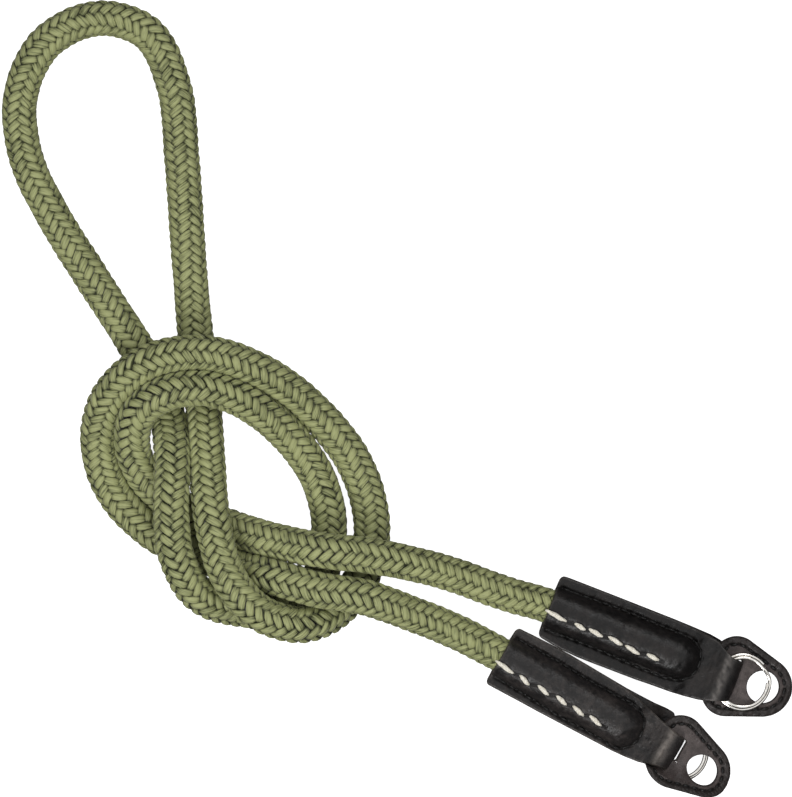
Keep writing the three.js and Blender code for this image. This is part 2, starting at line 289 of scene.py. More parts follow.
class Number:
    """A number socket that Python arithmetic turns into Math nodes."""

    def __init__(self, graph: "Graph", socket: bpy.types.NodeSocket) -> None:
        """Keeps the graph and the socket.

        Args:
            graph: The material's graph.
            socket: The socket that gives the number.
        """
        self.graph = graph
        self.socket = socket

    def math(self, operation: str, *others: "Number | float", swapped: bool = False) -> "Number":
        """One Math node on this number and others.

        Args:
            operation: The node's operation.
            others: What the operation takes besides this number.
            swapped: Whether this number comes last.

        Returns:
            The node's result.
        """
        values = [*others, self] if swapped else [self, *others]
        node = self.graph.node("ShaderNodeMath", {"operation": operation}, dict(enumerate(values)))
        return Number(self.graph, node.outputs[0])

    def __add__(self, other: "Number | float") -> "Number":
        """This plus another."""
        return self.math("ADD", other)

    __radd__ = __add__

    def __mul__(self, other: "Number | float") -> "Number":
        """This times another."""
        return self.math("MULTIPLY", other)

    __rmul__ = __mul__

    def __sub__(self, other: "Number | float") -> "Number":
        """This less another."""
        return self.math("SUBTRACT", other)

    def __rsub__(self, other: "Number | float") -> "Number":
        """Another less this."""
        return self.math("SUBTRACT", other, swapped=True)

    def __truediv__(self, other: "Number | float") -> "Number":
        """This by another."""
        return self.math("DIVIDE", other)

    def __pow__(self, other: "Number | float") -> "Number":
        """This to a power."""
        return self.math("POWER", other)

    def clamp(self) -> "Number":
        """This, kept from nought to one."""
        return self.graph.ramp(self, 0.0, 1.0)

    def rise(self, low: float, high: float) -> "Number":
        """A smooth step of this number from low to high."""
        return self.graph.ramp(self, low, high, "SMOOTHSTEP")


class Graph:
    """One material's nodes, behind the principled shader's sockets."""

    def __init__(self, name: str, **fixed: Any) -> None:
        """Makes a material and sets what is the same all over it on the shader itself.

        Args:
            name: The material's name.
            fixed: The shader's socket values, with underscores for blanks.
        """
        self.material = bpy.data.materials.new(name)
        self.material.use_nodes = True
        self.tree = self.material.node_tree
        self.shader = self.tree.nodes["Principled BSDF"]
        named = {socket.name.lower().replace(" ", "_"): socket for socket in self.shader.inputs}
        for key, value in fixed.items():
            self.feed(named[key], value)

    def feed(self, socket: bpy.types.NodeSocket, value: Any) -> None:
        """Links a number or socket to a socket, or sets its value.

        Args:
            socket: The socket to feed.
            value: A Number, a socket, a number or a tuple.
        """
        if isinstance(value, Number):
            self.tree.links.new(value.socket, socket)
        elif isinstance(value, bpy.types.NodeSocket):
            self.tree.links.new(value, socket)
        elif isinstance(value, tuple) and len(value) == 3 and socket.type == "RGBA":
            socket.default_value = (*value, 1.0)
        else:
            socket.default_value = value

    def node(
        self,
        kind: str,
        settings: dict[str, Any] | None = None,
        inputs: dict[str | int, Any] | None = None,
    ) -> bpy.types.Node:
        """Makes any node.

        Args:
            kind: The node's type.
            settings: Its settings, which are set first.
            inputs: Values or links of its sockets, by name or number.

        Returns:
            The node.
        """
        made = self.tree.nodes.new(kind)
        for key, value in (settings or {}).items():
            setattr(made, key, value)
        for key, value in (inputs or {}).items():
            self.feed(made.inputs[key], value)
        return made

    def ramp(self, value: Number, low: float, high: float, curve: str = "LINEAR") -> Number:
        """A number spread from low and high to nought and one, and kept there.

        Args:
            value: The number.
            low: What becomes nought.
            high: What becomes one.
            curve: How it goes between them.

        Returns:
            The spread number.
        """
        node = self.node(
            "ShaderNodeMapRange",
            {"interpolation_type": curve, "clamp": True},
            {"Value": value, "From Min": low, "From Max": high},
        )
        return Number(self, node.outputs["Result"])

    def number(self, name: str) -> Number:
        """A number attribute of the piece."""
        node = self.node("ShaderNodeAttribute", {"attribute_name": name})
        return Number(self, node.outputs["Fac"])

    def places(self) -> bpy.types.NodeSocket:
        """Where a point is, in Object coordinates."""
        return self.node("ShaderNodeTexCoord").outputs["Object"]

    def stretched(self, vector: bpy.types.NodeSocket, scale: Colour) -> bpy.types.NodeSocket:
        """A vector times a scale for each of its numbers."""
        node = self.node("ShaderNodeVectorMath", {"operation": "MULTIPLY"}, {0: vector, 1: scale})
        return node.outputs[0]

    def noise(self, vector: bpy.types.NodeSocket, scale: float, detail: float = 2.0) -> Number:
        """Noise from nought to one over a vector."""
        inputs = {"Vector": vector, "Scale": scale, "Detail": detail}
        return Number(self, self.node("ShaderNodeTexNoise", None, inputs).outputs[0])

    def cells(self, vector: bpy.types.NodeSocket, scale: float) -> Number:
        """Distance to the nearest of scattered points, as of pebbled grain."""
        node = self.node("ShaderNodeTexVoronoi", None, {"Vector": vector, "Scale": scale})
        return Number(self, node.outputs["Distance"])

    def mix(self, share: Number | float, first: Any, second: Any) -> bpy.types.NodeSocket:
        """A colour between two others.

        Args:
            share: The second colour's share.
            first: The first colour.
            second: The second colour.

        Returns:
            The mixed colour's socket.
        """
        node = self.node("ShaderNodeMix", {"data_type": "RGBA"}, {0: share, 6: first, 7: second})
        return node.outputs[2]

    def bump(self, height: Number, depth: float, strength: float = 1.0) -> None:
        """Lets a height from nought to one turn the surface's normal.

        Args:
            height: The height.
            depth: Metres that one stands for.
            strength: The bump's strength.
        """
        inputs = {"Height": height, "Distance": depth, "Strength": strength}
        node = self.node("ShaderNodeBump", None, inputs)
        self.feed(self.shader.inputs["Normal"], node.outputs[0])


@dataclass(frozen=True)
class YarnFinish:
    """Olive polyester yarn, matt, with its filaments running along it. Light and shade are painted: the crests paler,
    the sides and dips darker and near black between the yarns.
    """

    light: Colour = (0.36, 0.382, 0.172)
    # The darker tone of the yarn, which is also painted shade on its sides and dips.
    deep_and_shaded: Colour = (0.04, 0.048, 0.013)
    # Painted shade: near black, where the yarns dip under each other, on their undersides and over the whole core.
    gap: Colour = (0.003, 0.0035, 0.001)
    filament_scale: Colour = (2.4, 0.28, 3.0)
    filament_depth: float = 0.3 * MM

    def material(self) -> bpy.types.Material:
        """The yarn's material, which reads the attributes lay and raised."""
        graph = Graph("olive_yarn", specular_ior_level=0.4, sheen_weight=0.2, sheen_roughness=0.35)
        lay = graph.node("ShaderNodeAttribute", {"attribute_name": "lay"}).outputs["Vector"]
        filaments = graph.noise(graph.stretched(lay, self.filament_scale), 1.0, 3.0)
        picks = graph.noise(graph.stretched(lay, (0.15, 0.16, 7.0)), 1.0, 1.0)
        patches = graph.noise(graph.places(), 70.0, 2.0)
        raised = graph.number("raised")
        # Painted light and shade: the pale share grows with how raised the surface is, so crests are painted lit and
        # sides and dips shaded, beside the filaments', picks' and blotches' own tone.
        share = (raised.rise(0.35, 1.0) * 0.95 + (filaments - 0.5) * 2.8 + (picks - 0.5) * 0.9
                 + (patches - 0.5) * 0.4)
        yarn = graph.mix(share.clamp(), self.deep_and_shaded, self.light)
        # Painted shade: the gap colour where the surface lies low.
        graph.feed(graph.shader.inputs["Base Color"], graph.mix(raised.rise(0.4, 0.84), self.gap, yarn))
        graph.feed(graph.shader.inputs["Roughness"], (1.0 - filaments) * 0.3 + 0.45)
        graph.bump(filaments, self.filament_depth)
        return graph.material


@dataclass(frozen=True)
class LeatherFinish:
    """Near-black leather: fine pebbled grain, soft wrinkles, a rim colour, which on the sleeves is burnished wear with
    a painted highlight, and painted shade, near black, in the stitched grooves and folds.
    """

    name: str
    ground: Colour
    warm: Colour
    rim: Colour
    roughness: float
    coat: float
    grain_depth: float
    wrinkle_depth: float

    def material(self) -> bpy.types.Material:
        """The leather's material, which reads the rim attribute and the attribute of painted shade in the hollows."""
        graph = Graph(self.name, specular_ior_level=0.3, coat_weight=self.coat, coat_roughness=0.3)
        place = graph.places()
        grain = graph.cells(place, 2100.0)
        pores = graph.noise(place, 3600.0, 3.0)
        wrinkles = graph.noise(place, 620.0, 4.0)
        patches = graph.noise(place, 110.0, 3.0)
        rim = graph.number("rim")
        hollow = graph.number("hollow")
        worn = (patches.rise(0.35, 0.75) * 0.8 + (wrinkles - 0.5) * 2.3 + (pores - 0.5) * 1.7).clamp()
        hide = graph.mix(worn, self.ground, self.warm)
        # The rim colour: on the sleeves pale, for burnished wear with a painted highlight along the edges and the
        # tongue's crest; on the guard a darker edge band.
        hide = graph.mix((rim * (wrinkles * 1.5 + 0.1)).clamp(), hide, self.rim)
        # Painted shade: near black in the grooves, the slits between hand stitches and at the fold's end and roll.
        sunk = graph.mix((hollow * 0.85).clamp(), hide, (0.0035, 0.003, 0.003))
        graph.feed(graph.shader.inputs["Base Color"], sunk)
        rough = (self.roughness + (wrinkles - 0.5) * 0.5 + (pores - 0.5) * 0.3 + hollow * 0.2).clamp()
        graph.feed(graph.shader.inputs["Roughness"], rough)
        share = self.grain_depth / (self.grain_depth + self.wrinkle_depth)
        height = grain * (share * 0.6) + pores * (share * 0.4) + wrinkles * (1.0 - share)
        graph.bump(height, self.grain_depth + self.wrinkle_depth)
        return graph.material


@dataclass(frozen=True)
class ThreadFinish:
    """Waxed thread of a few plies, whose fibres run with the twist."""

    name: str
    light: Colour
    dark: Colour
    roughness: float

    def material(self) -> bpy.types.Material:
        """The thread's material, which reads the attribute lay."""
        graph = Graph(self.name, specular_ior_level=0.4)
        lay = graph.node("ShaderNodeAttribute", {"attribute_name": "lay"}).outputs["Vector"]
        fibres = graph.noise(graph.stretched(lay, (6.0, 1.6, 5.0)), 1.0, 3.0)
        graph.feed(graph.shader.inputs["Base Color"], graph.mix(fibres.rise(0.3, 0.7), self.dark, self.light))
        graph.feed(graph.shader.inputs["Roughness"], fibres * 0.2 + self.roughness)
        graph.bump(fibres, 0.06 * MM)
        return graph.material


@dataclass(frozen=True)
class SteelFinish:
    """Polished spring steel with faint hairlines along the wire."""

    tint: Colour = (0.93, 0.91, 0.87)
    dull: Colour = (0.78, 0.74, 0.68)

    def material(self) -> bpy.types.Material:
        """The wire's material, which reads the attribute lay."""
        graph = Graph("polished_steel", metallic=1.0)
        lay = graph.node("ShaderNodeAttribute", {"attribute_name": "lay"}).outputs["Vector"]
        lines = graph.noise(graph.stretched(lay, (9.0, 0.25, 9.0)), 1.0, 3.0)
        marks = graph.noise(graph.places(), 900.0, 3.0)
        graph.feed(graph.shader.inputs["Base Color"], graph.mix(marks.rise(0.35, 0.7), self.tint, self.dull))
        graph.feed(graph.shader.inputs["Roughness"], lines * 0.05 + marks.rise(0.5, 0.8) * 0.05 + 0.1)
        graph.bump(lines, 0.004 * MM)
        return graph.material


@dataclass
class Centreline:
    """The rope's centre line: a centripetal Catmull-Rom curve that never sinks below a height.

    Attributes:
        route: The chosen points, in millimetres.
        lowest: The lowest height of the line, in metres.
    """

    route: Rows
    lowest: float
    points: np.ndarray = field(init=False)
    along: np.ndarray = field(init=False)

    def __post_init__(self) -> None:
        """Works the curve out and measures it."""
        rough = np.array(self.route, float) * MM
        p = np.vstack([2 * rough[0] - rough[1], rough, 2 * rough[-1] - rough[-2]])
        p0, p1, p2, p3 = p[:-3], p[1:-2], p[2:-1], p[3:]
        d0, d1, d2 = (
            np.sqrt(np.linalg.norm(b - a, axis=1))[:, None] for a, b in ((p0, p1), (p1, p2), (p2, p3))
        )
        start = ((p1 - p0) / d0 - (p2 - p0) / (d0 + d1) + (p2 - p1) / d1) * d1
        end = ((p2 - p1) / d1 - (p3 - p1) / (d1 + d2) + (p3 - p2) / d2) * d1
        t = np.linspace(0, 1, 60, endpoint=False)[None, :, None]
        a, b = p1[:, None], p2[:, None]
        start, end = start[:, None], end[:, None]
        line = a + start * t + (3 * b - 3 * a - 2 * start - end) * t**2 + (2 * a - 2 * b + start + end) * t**3
        line = np.vstack([line.reshape(-1, 3), rough[-1:]])
        line[:, 2] = np.maximum(line[:, 2], self.lowest)
        self.points = line
        steps = np.linalg.norm(np.diff(line, axis=0), axis=1)
        self.along = np.concatenate([[0], np.cumsum(steps)])

    @property
    def length(self) -> float:
        """The line's length in metres."""
        return float(self.along[-1])

    def at(self, along: np.ndarray) -> np.ndarray:
        """Points of the line at lengths along it."""
        return np.stack([np.interp(along, self.along, self.points[:, i]) for i in range(3)], -1)

    def frames(self, along: np.ndarray) -> tuple[np.ndarray, np.ndarray, np.ndarray]:
        """Where the line is, and the two directions across it: the steepest one up, and the level one.

        Args:
            along: Lengths along the line, in metres.

        Returns:
            The points, the upward directions and the level directions.
        """
        reach = 1.5 * MM
        ahead = unit(self.at(along + reach) - self.at(along - reach))
        up = unit(np.array([0.0, 0.0, 1.0]) - ahead * ahead[..., 2:])
        return self.at(along), up, np.cross(ahead, up)


@dataclass
class Rope:
    """The braided rope: sixteen plump yarns, each over two and under two, round a core that is painted near black as
    shade.

    Attributes:
        line: The line that the yarns follow.
        declared: The rope's own line, as the solids have it.
        diameter: The rope's thickness in metres.
        crossing: Length along the rope from one crossing to the next.
        columns: Crossings round the rope, which are half the yarns.
        proud: How far the yarns' crests stand out of the rope's even thickness.
        half_wide: Half a yarn's width.
        half_thick: Half a yarn's thickness.
        wave: How far a yarn moves out and in as it passes over and under.
        boxy: The power of the yarns' section: one is an ellipse, and less is fuller.
        knot: The knot's middle, in millimetres.
        spread: By which share the rope is pressed wider in the knot.
    """

    line: Centreline
    declared: Centreline
    diameter: float = 10 * MM
    crossing: float = 2.75 * MM
    columns: int = 8
    proud: float = 0.13 * MM
    half_wide: float = 1.12 * MM
    half_thick: float = 0.77 * MM
    boxy: float = 0.75
    wave: float = 0.62 * MM
    rows_a_crossing: float = 7.0
    sides: int = 8
    bundles: int = 4
    core_radius: float = 3.55 * MM
    knot: tuple[float, float] = (-115.0, 58.0)
    spread: float = 0.045

    def squeeze(self, middle: np.ndarray) -> np.ndarray:
        """How wide the rope lies, as a share: wider by a smooth step towards the middle of the knot."""
        away = np.linalg.norm(middle[:, :2] - np.array(self.knot) * MM, axis=-1)
        return 1 + self.spread * (1 - ease(42 * MM, 62 * MM, away))

    def twist(self, along: np.ndarray) -> np.ndarray:
        """The braid's own slow turning about the rope, in radians: two slow sines of the length."""
        return 0.4 * np.sin(along / 0.047 + 0.6) + 0.3 * np.sin(along / 0.021 + 2.0)

    def lift(self, place: np.ndarray) -> np.ndarray:
        """A yarn's way out and in: a flattened cosine of its place, one period for each two columns."""
        return np.tanh(1.3 * np.cos(np.pi * (place - 0.25))) / math.tanh(1.3)

    def yarn(self, number: int, turn: Turn) -> Patch:
        """One yarn: a flattened section carried along a helix round the rope that also waves in and out.

        The place round the rope is the yarn's number plus or minus the length by the crossing. The
        centre lies at the middle radius plus the wave times the lift, and the section is a
        superellipse whose long axis lies across the yarn, on the rope's surface.

        Args:
            number: The yarn's number among those of its turn.
            turn: The way it winds.

        Returns:
            The yarn's surface.
        """
        rows = int(self.line.length / self.crossing * self.rows_a_crossing)
        along = np.linspace(0, self.line.length, rows)
        place = number + turn.value * along / self.crossing
        lift = turn.value * self.lift(place)
        angle = 2 * np.pi * place / self.columns + self.twist(along)
        middle, up, level = self.line.frames(along)
        level = level * self.squeeze(middle)[:, None]
        outward = up * np.cos(angle)[:, None] + level * np.sin(angle)[:, None]
        plump = 1 + 0.05 * np.sin(2.3 * place + number * 1.7) + 0.06 * lift
        radius = self.diameter / 2 + self.proud - self.half_thick + self.wave * (lift - 1)
        centre = middle + outward * radius[:, None]
        ahead = unit(np.gradient(centre, axis=0))
        side = unit(np.cross(outward, ahead))
        out = np.cross(ahead, side)
        phi = np.linspace(0, 2 * np.pi, self.sides, endpoint=False)
        wide, thick = (np.sign(v) * np.abs(v) ** self.boxy for v in (np.cos(phi), np.sin(phi)))
        across = self.half_wide * plump[:, None] * wide
        tall = self.half_thick * plump[:, None] * thick
        points = centre[:, None] + side[:, None] * across[..., None] + out[:, None] * tall[..., None]
        # How raised the yarn's surface stands, by its wave and its section; the material paints light and shade from
        # it.
        raised = ((lift[:, None] * 0.5 + 0.5) * (0.55 + 0.45 * thick)).clip(0, 1)
        travelled = np.broadcast_to(along[:, None] * 1.6 / MM, across.shape)
        index = np.full(across.shape, number * 3.7 + (50 if turn is Turn.COUNTER else 0))
        lay = np.stack([across / MM + 0.16 * travelled, travelled, index], -1)
        return Patch(points, values={"lay": lay, "raised": raised})

    def core(self) -> Patch:
        """The core: a plain round section carried along the line, painted near black as shade, since its raised values
        are all nought.
        """
        along = np.linspace(0, self.line.length, 520)
        middle, up, level = self.line.frames(along)
        phi = np.linspace(0, 2 * np.pi, 12, endpoint=False)[None, :, None]
        around = up[:, None] * np.cos(phi) + level[:, None] * np.sin(phi)
        points = middle[:, None] + around * self.core_radius
        flat = np.zeros(points.shape[:2])
        return Patch(points, values={"lay": points / MM, "raised": flat})

    def build(self, exit_point: np.ndarray) -> list[bpy.types.Object]:
        """Args:
            exit_point: Where the rope leaves its first sleeve, in metres. Not used.

        Returns:
            The rope's pieces.
        """
        finish = YarnFinish().material()
        every = [(number, turn) for turn in Turn for number in range(self.columns)]
        share = len(every) // self.bundles
        pieces = []
        for i in range(self.bundles):
            yarns = [self.yarn(*key) for key in every[i * share:(i + 1) * share]]
            pieces.append(Skin(f"rope_yarns_{i + 1}", yarns).build(finish, Slot.ROPE))
        pieces.append(Skin("rope_core", [self.core()]).build(finish, Slot.ROPE))
        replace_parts(pieces[0], "rope")
        tuple(exit_point)
        self.declared.length
        self.declared.at(np.linspace(0, self.declared.length, 420)).tolist()
        return pieces


@dataclass(frozen=True)
class Place:
    """Where an end fitting lies: its mouth in millimetres, and the way it points, in degrees."""

    mouth: tuple[float, float]
    heading: float

    def to_strap(self, points: np.ndarray) -> np.ndarray:
        """Points in the fitting's own millimetres, as metres in the strap's frame."""
        c, s = math.cos(math.radians(self.heading)), math.sin(math.radians(self.heading))
        x, y, z = points[..., 0], points[..., 1], points[..., 2]
        moved = [x * c - y * s + self.mouth[0], x * s + y * c + self.mouth[1], z]
        return np.stack(moved, -1) * MM


def spindle(
    line: np.ndarray, half_wide: float, half_tall: float, plies: int, sides: int, number: float
) -> Patch:
    """A stitch: a round section carried along a line, swelling as a root of a sine, with twisted plies.

    Args:
        line: The stitch's centre line, a row of points in metres.
        half_wide: Half its width in metres.
        half_tall: Half its height in metres.
        plies: Number of plies that show in its section.
        sides: Points round the section.
        number: A number that sets its fibres apart from those of other stitches.

    Returns:
        The stitch's surface.
    """
    rows = len(line)
    share = np.linspace(0, 1, rows)
    swell = np.sin(np.pi * (0.03 + 0.94 * share)) ** 0.55
    ahead = unit(np.gradient(line, axis=0))
    side = unit(np.cross(np.array([0.0, 0.0, 1.0]), ahead))
    out = np.cross(ahead, side)
    phi = np.linspace(0, 2 * np.pi, sides, endpoint=False)
    ridge = 1 + 0.09 * np.cos(plies * (phi[None, :] - 4.4 * share[:, None]))
    across = half_wide * swell[:, None] * ridge * np.cos(phi)
    tall = half_tall * swell[:, None] * ridge * np.sin(phi)
    points = line[:, None] + side[:, None] * across[..., None] + out[:, None] * tall[..., None]
    length = np.linalg.norm(np.diff(line, axis=0), axis=1).sum()
    travelled = np.broadcast_to(share[:, None] * length / MM, across.shape)
    lay = np.stack([across / MM + travelled * 0.8, travelled, np.full(across.shape, number)], -1)
    return Patch(points, values={"lay": lay})


@dataclass
class Sleeve:
    """A leather sleeve: one strip, doubled back on itself, sewn round the rope along both edges.

    All its sizes are millimetres in its own frame, from the middle of its mouth along its axis.

    Attributes:
        name: The sleeve's letter.
        place: Where it lies.
        upper: The left edge as rows of place along it and distance from the axis.
        lower: The right edge, in the same way.
        under: The left edge of the lower layer, in the same way.
        stitches: The hand stitches, each a row of start and end: along, aside, along, aside.
        seed: Chooses its soft dents.
        creased: How deep its tongue's creases are.
        worn: How pale the tongue's crest is painted, from nought to one: wear, and a painted highlight on the crest.
    """

    name: str
    place: Place
    upper: Rows
    lower: Rows
    under: Rows
    stitches: Rows
    seed: int
    creased: float
    worn: float
    leather: float = 1.3
    length: float = 57.8
    rope_height: float = 6.3
    bulge_high: float = 6.6
    bulge_wide: float = 6.05
    bulge_from: float = 38.5
    bulge_end: float = 8.0
    seam_start: float = 40.8
    layers_apart: float = 49.6
    fold_outer: float = 3.65
    fold_inner: float = 2.35
    corner: float = 1.3
    groove_aside: float = 6.75
    groove_inset: float = 1.6
    groove_depth: float = 0.5
    groove_wide: float = 0.5
    edge_pitch: float = 2.9

    @property
    def fold_start(self) -> float:
        """Where the tongue starts to turn back."""
        return self.length - self.fold_outer

    def middle(self, along: np.ndarray) -> np.ndarray:
        """Height of the plane between the layers: the rope's, then the tongue's, by a smooth step."""
        share = ease(self.seam_start, self.layers_apart, along)
        return self.rope_height + (self.fold_outer - self.rope_height) * share

    def half_thick(self, along: np.ndarray) -> np.ndarray:
        """Half the thickness of the sewn edge, growing to the fold's radius by a smooth step."""
        share = ease(self.seam_start + 3.45, self.layers_apart, along)
        return self.leather + (self.fold_outer - self.leather) * share

    def edges(self, along: np.ndarray) -> tuple[np.ndarray, np.ndarray, np.ndarray]:
        """Distances aside of the lower edge, the upper one and the under layer's upper one.

        The mouth's corners are rounded off.

        Args:
            along: Places along the sleeve.

        Returns:
            The three edges' distances from the axis, the lower one's below nought.
        """
        short = np.maximum(self.corner - along, 0)
        cut = self.corner - np.sqrt(np.maximum(self.corner**2 - short**2, 0))
        lower, upper, under = (
            np.interp(along, [row[0] for row in rows], [row[1] for row in rows]) - cut
            for rows in (self.lower, self.upper, self.under)
        )
        return -lower, upper, under

    def height(self, along: np.ndarray, aside: np.ndarray, inset: float = 0.0) -> np.ndarray:
        """Height of a layer's skin above the middle plane, before grooves.

        The rope's bulge is a flattened half ellipse across that closes in the same way behind the
        rope's end. It joins the sewn edge's flat height with a fillet.

        Args:
            along: Place along the sleeve.
            aside: Place across it.
            inset: How far the skin lies inside the outer one.

        Returns:
            Heights in millimetres.
        """
        behind = np.clip((along - self.bulge_from) / self.bulge_end, 0, 1)
        wide = self.bulge_wide - inset
        inside = 1 - behind**2.3 - np.abs(aside / wide) ** 2.3
        bulge = (self.bulge_high - inset) * np.maximum(inside, 0) ** 0.47
        return higher(bulge, self.half_thick(along) - inset, 2.2)

    def seam(self, count: int = 400) -> np.ndarray:
        """The edge stitching's line: along one side, round the bulge's end and back on the other.

        Args:
            count: Number of points.

        Returns:
            Points as rows of along and aside, evenly spaced.
        """
        straight = np.linspace(1.6, self.bulge_from, 160)
        turn = np.linspace(np.pi / 2, -np.pi / 2, 120)[1:-1]
        end = self.bulge_from + 7.4 * np.cos(turn) ** 0.8
        rough = np.concatenate([
            np.stack([straight, self.groove(straight, 1)], -1),
            np.stack([end, self.groove(self.bulge_from, 1) * np.sin(turn)], -1),
            np.stack([straight[::-1], self.groove(straight[::-1], -1)], -1),
        ])
        steps = np.concatenate([[0], np.cumsum(np.linalg.norm(np.diff(rough, axis=0), axis=1))])
        even = np.linspace(0, steps[-1], count)
        return np.stack([np.interp(even, steps, rough[:, i]) for i in range(2)], -1)

    def groove(self, along: np.ndarray | float, side: int) -> np.ndarray:
        """How far aside the edge stitching runs: a fixed distance with a slight waver, inside the edge."""
        place = np.asarray(along, float)
        lower, upper, _ = self.edges(np.maximum(place, self.corner))
        edge = upper if side > 0 else -lower
        waver = 0.22 * np.sin(place / 5.3 + self.seed + side)
        aside = self.groove_aside - 0.35 * np.cos(place / 24) + waver
        return side * np.minimum(aside, edge - self.groove_inset)

    def relief(self, along: np.ndarray, aside: np.ndarray) -> tuple[np.ndarray, np.ndarray]:
        """What the stitching presses in and the leather's soft dents.

        The groove is a bell curve of the distance to the seam, deeper at each needle hole. Between
        two hand stitches the leather sinks in a narrow slit.

        Args:
            along: Place along the sleeve.
            aside: Place across it.

        Returns:
            The height to add, and the painted shade of the hollows, from nought to one.
        """
        seam = self.seam(260)
        flat = np.stack([along.ravel(), aside.ravel()], -1)
        reach = np.full(len(flat), 9.0)
        count = np.zeros(len(flat), int)
        near = (np.abs(flat[:, 1]) > 3.5) | (flat[:, 0] > self.bulge_from - 2)
        gaps = np.linalg.norm(flat[near][:, None] - seam[None], axis=-1)
        reach[near] = gaps.min(1)
        count[near] = gaps.argmin(1)
        reach, count = reach.reshape(along.shape), count.reshape(along.shape)
        step = np.linalg.norm(seam[1] - seam[0])
        hole = np.cos(2 * np.pi * count * step / self.edge_pitch) * 0.5 + 0.5
        bell = np.exp(-((reach / self.groove_wide) ** 2))
        wide_bell = np.exp(-((reach / (2.4 * self.groove_wide)) ** 2))
        height = -self.groove_depth * bell * (0.75 + 0.5 * hole) - 0.12 * wide_bell
        # Painted shade in the groove, darker at each needle hole.
        hollow = bell * (0.55 + 0.45 * hole)
        for first, second in zip(self.stitches, (*self.stitches[1:], None)):
            ends = [first[2], first[3]]
            after = [ends[0] + 1.2, ends[1]] if second is None else [second[0], second[1]]
            slit = self.distance(along, aside, ends, after)
            cleft = np.exp(-((slit / 0.4) ** 2))
            around = np.exp(-((slit / 1.3) ** 2))
            height -= 0.38 * cleft + 0.16 * around
            # Painted shade in the slit.
            hollow = np.maximum(hollow, cleft)
        dents = 0.1 * ripple(along, aside, 9.0, self.seed) + 0.05 * ripple(along, aside, 2.6, self.seed + 1)
        pucker = 0.1 * np.exp(-(((reach - 1.2) / 0.9) ** 2)) * (1.6 * hole - 0.8)
        tongue = ease(self.seam_start - 1, self.layers_apart, along)
        creases = ripple(along * 2.2, aside * 0.5, 2.3, self.seed + 2) * self.creased * tongue
        end = np.exp(-(((along - self.bulge_from - 3) / 4.5) ** 2))
        dents = dents + 2.6 * self.creased * ripple(along, aside * 0.8, 3.6, self.seed + 6) * end
        hump = 0.85 * np.exp(-(((along - 53.2) / 1.7) ** 2)) * (1 - 0.3 * (aside / 6.5) ** 2)
        dip = 0.6 * np.exp(-(((along - 48.4) / 2.0) ** 2))
        return height + dents + pucker + creases + hump - dip, hollow

    @staticmethod
    def distance(
        along: np.ndarray, aside: np.ndarray, start: list[float], end: list[float]
    ) -> np.ndarray:
        """Distance of points from a straight stretch, from start to end."""
        a, b = np.array(start), np.array(end)
        way = b - a
        share = ((along - a[0]) * way[0] + (aside - a[1]) * way[1]) / (way @ way)
        share = np.clip(share, 0, 1)
        return np.hypot(along - a[0] - share * way[0], aside - a[1] - share * way[1])

    def skin(self) -> Patch:
        """The whole strip as a section carried from the mouth over the tongue's fold and back.

        A section is the outer skin from the lower to the upper edge and the inner skin back. On the
        two layers its height is the middle plane's plus or minus the skin's height, and round the
        fold it turns about the fold's middle.

        Returns:
            The strip's surface.
        """
        top, fold, bottom = 196, 22, 84
        rise = np.linspace(0, 1, top)
        over = np.concatenate([0.5 * rise[rise < 0.1] ** 1.15, rise[rise >= 0.1]])
        forward = np.sort(over) * self.fold_start
        back = np.linspace(self.fold_start, 0, bottom)[1:]
        turn = np.linspace(np.pi / 2, -np.pi / 2, fold + 2)[1:-1]
        along = np.concatenate([forward, np.full(fold, self.fold_start), back])
        phase = np.concatenate([np.full(len(forward), np.pi / 2), turn, np.full(len(back), -np.pi / 2)])
        flat = np.abs(np.abs(phase) - np.pi / 2) < 1e-9

        spread = np.linspace(-1, 1, 71)
        spread = spread + 0.06 * np.sin(2 * np.pi * spread)
        inner = np.linspace(1, -1, 27)
        share = np.concatenate([spread, inner])
        outside = np.arange(len(share)) < len(spread)

        reach = np.minimum(along + self.fold_outer * np.cos(phase), self.length)
        low, high, under = self.edges(np.where(flat, along, reach))
        high = np.where(phase > 0, high, under)
        aside = (low + high)[:, None] / 2 + (high - low)[:, None] / 2 * share[None, :]
        along_grid = np.broadcast_to(along[:, None], aside.shape)
        inset = np.where(outside, 0.0, self.leather)
        outer = self.height(along_grid, aside)
        inner_height = np.maximum(self.height(along_grid, aside, self.leather), 0.03)
        tall = np.where(outside[None, :], outer, inner_height)

        gap = np.minimum(aside - low[:, None], high[:, None] - aside)
        round_edge = 0.5
        sunk = np.maximum(round_edge - gap, 0)
        drop = round_edge - np.sqrt(np.maximum(round_edge**2 - sunk**2, 0))
        mouth = np.maximum(round_edge - along, 0)
        end_drop = round_edge - np.sqrt(np.maximum(round_edge**2 - mouth**2, 0))
        shape = np.where(outside[None, :], -drop - end_drop[:, None], 0.25 * drop)
        pressed, hollow = self.relief(along_grid, aside)
        over_top = (phase > 0)[:, None] & flat[:, None] & outside[None, :]
        pressed = pressed * (0.1 + 0.9 * np.maximum(np.sin(phase), 0))[:, None] * outside[None, :]
        hollow = np.where(over_top, hollow, 0.0)

        radius = np.where(outside[None, :], self.fold_outer, self.fold_inner)
        radius = radius + np.broadcast_to(shape, aside.shape) + pressed
        centre = self.middle(along)[:, None]
        side = np.where(phase > 0, 1.0, -1.0)[:, None]
        height = np.where(
            flat[:, None],
            centre + side * (tall + shape + pressed),
            self.fold_outer + radius * np.sin(phase)[:, None],
        )
        height = np.maximum(height, 0.02 + inset[None, :] * 0)
        place = np.where(
            flat[:, None], along_grid, self.fold_start + radius * np.cos(phase)[:, None]
        )
        points = self.place.to_strap(np.stack([place, aside, height], -1))
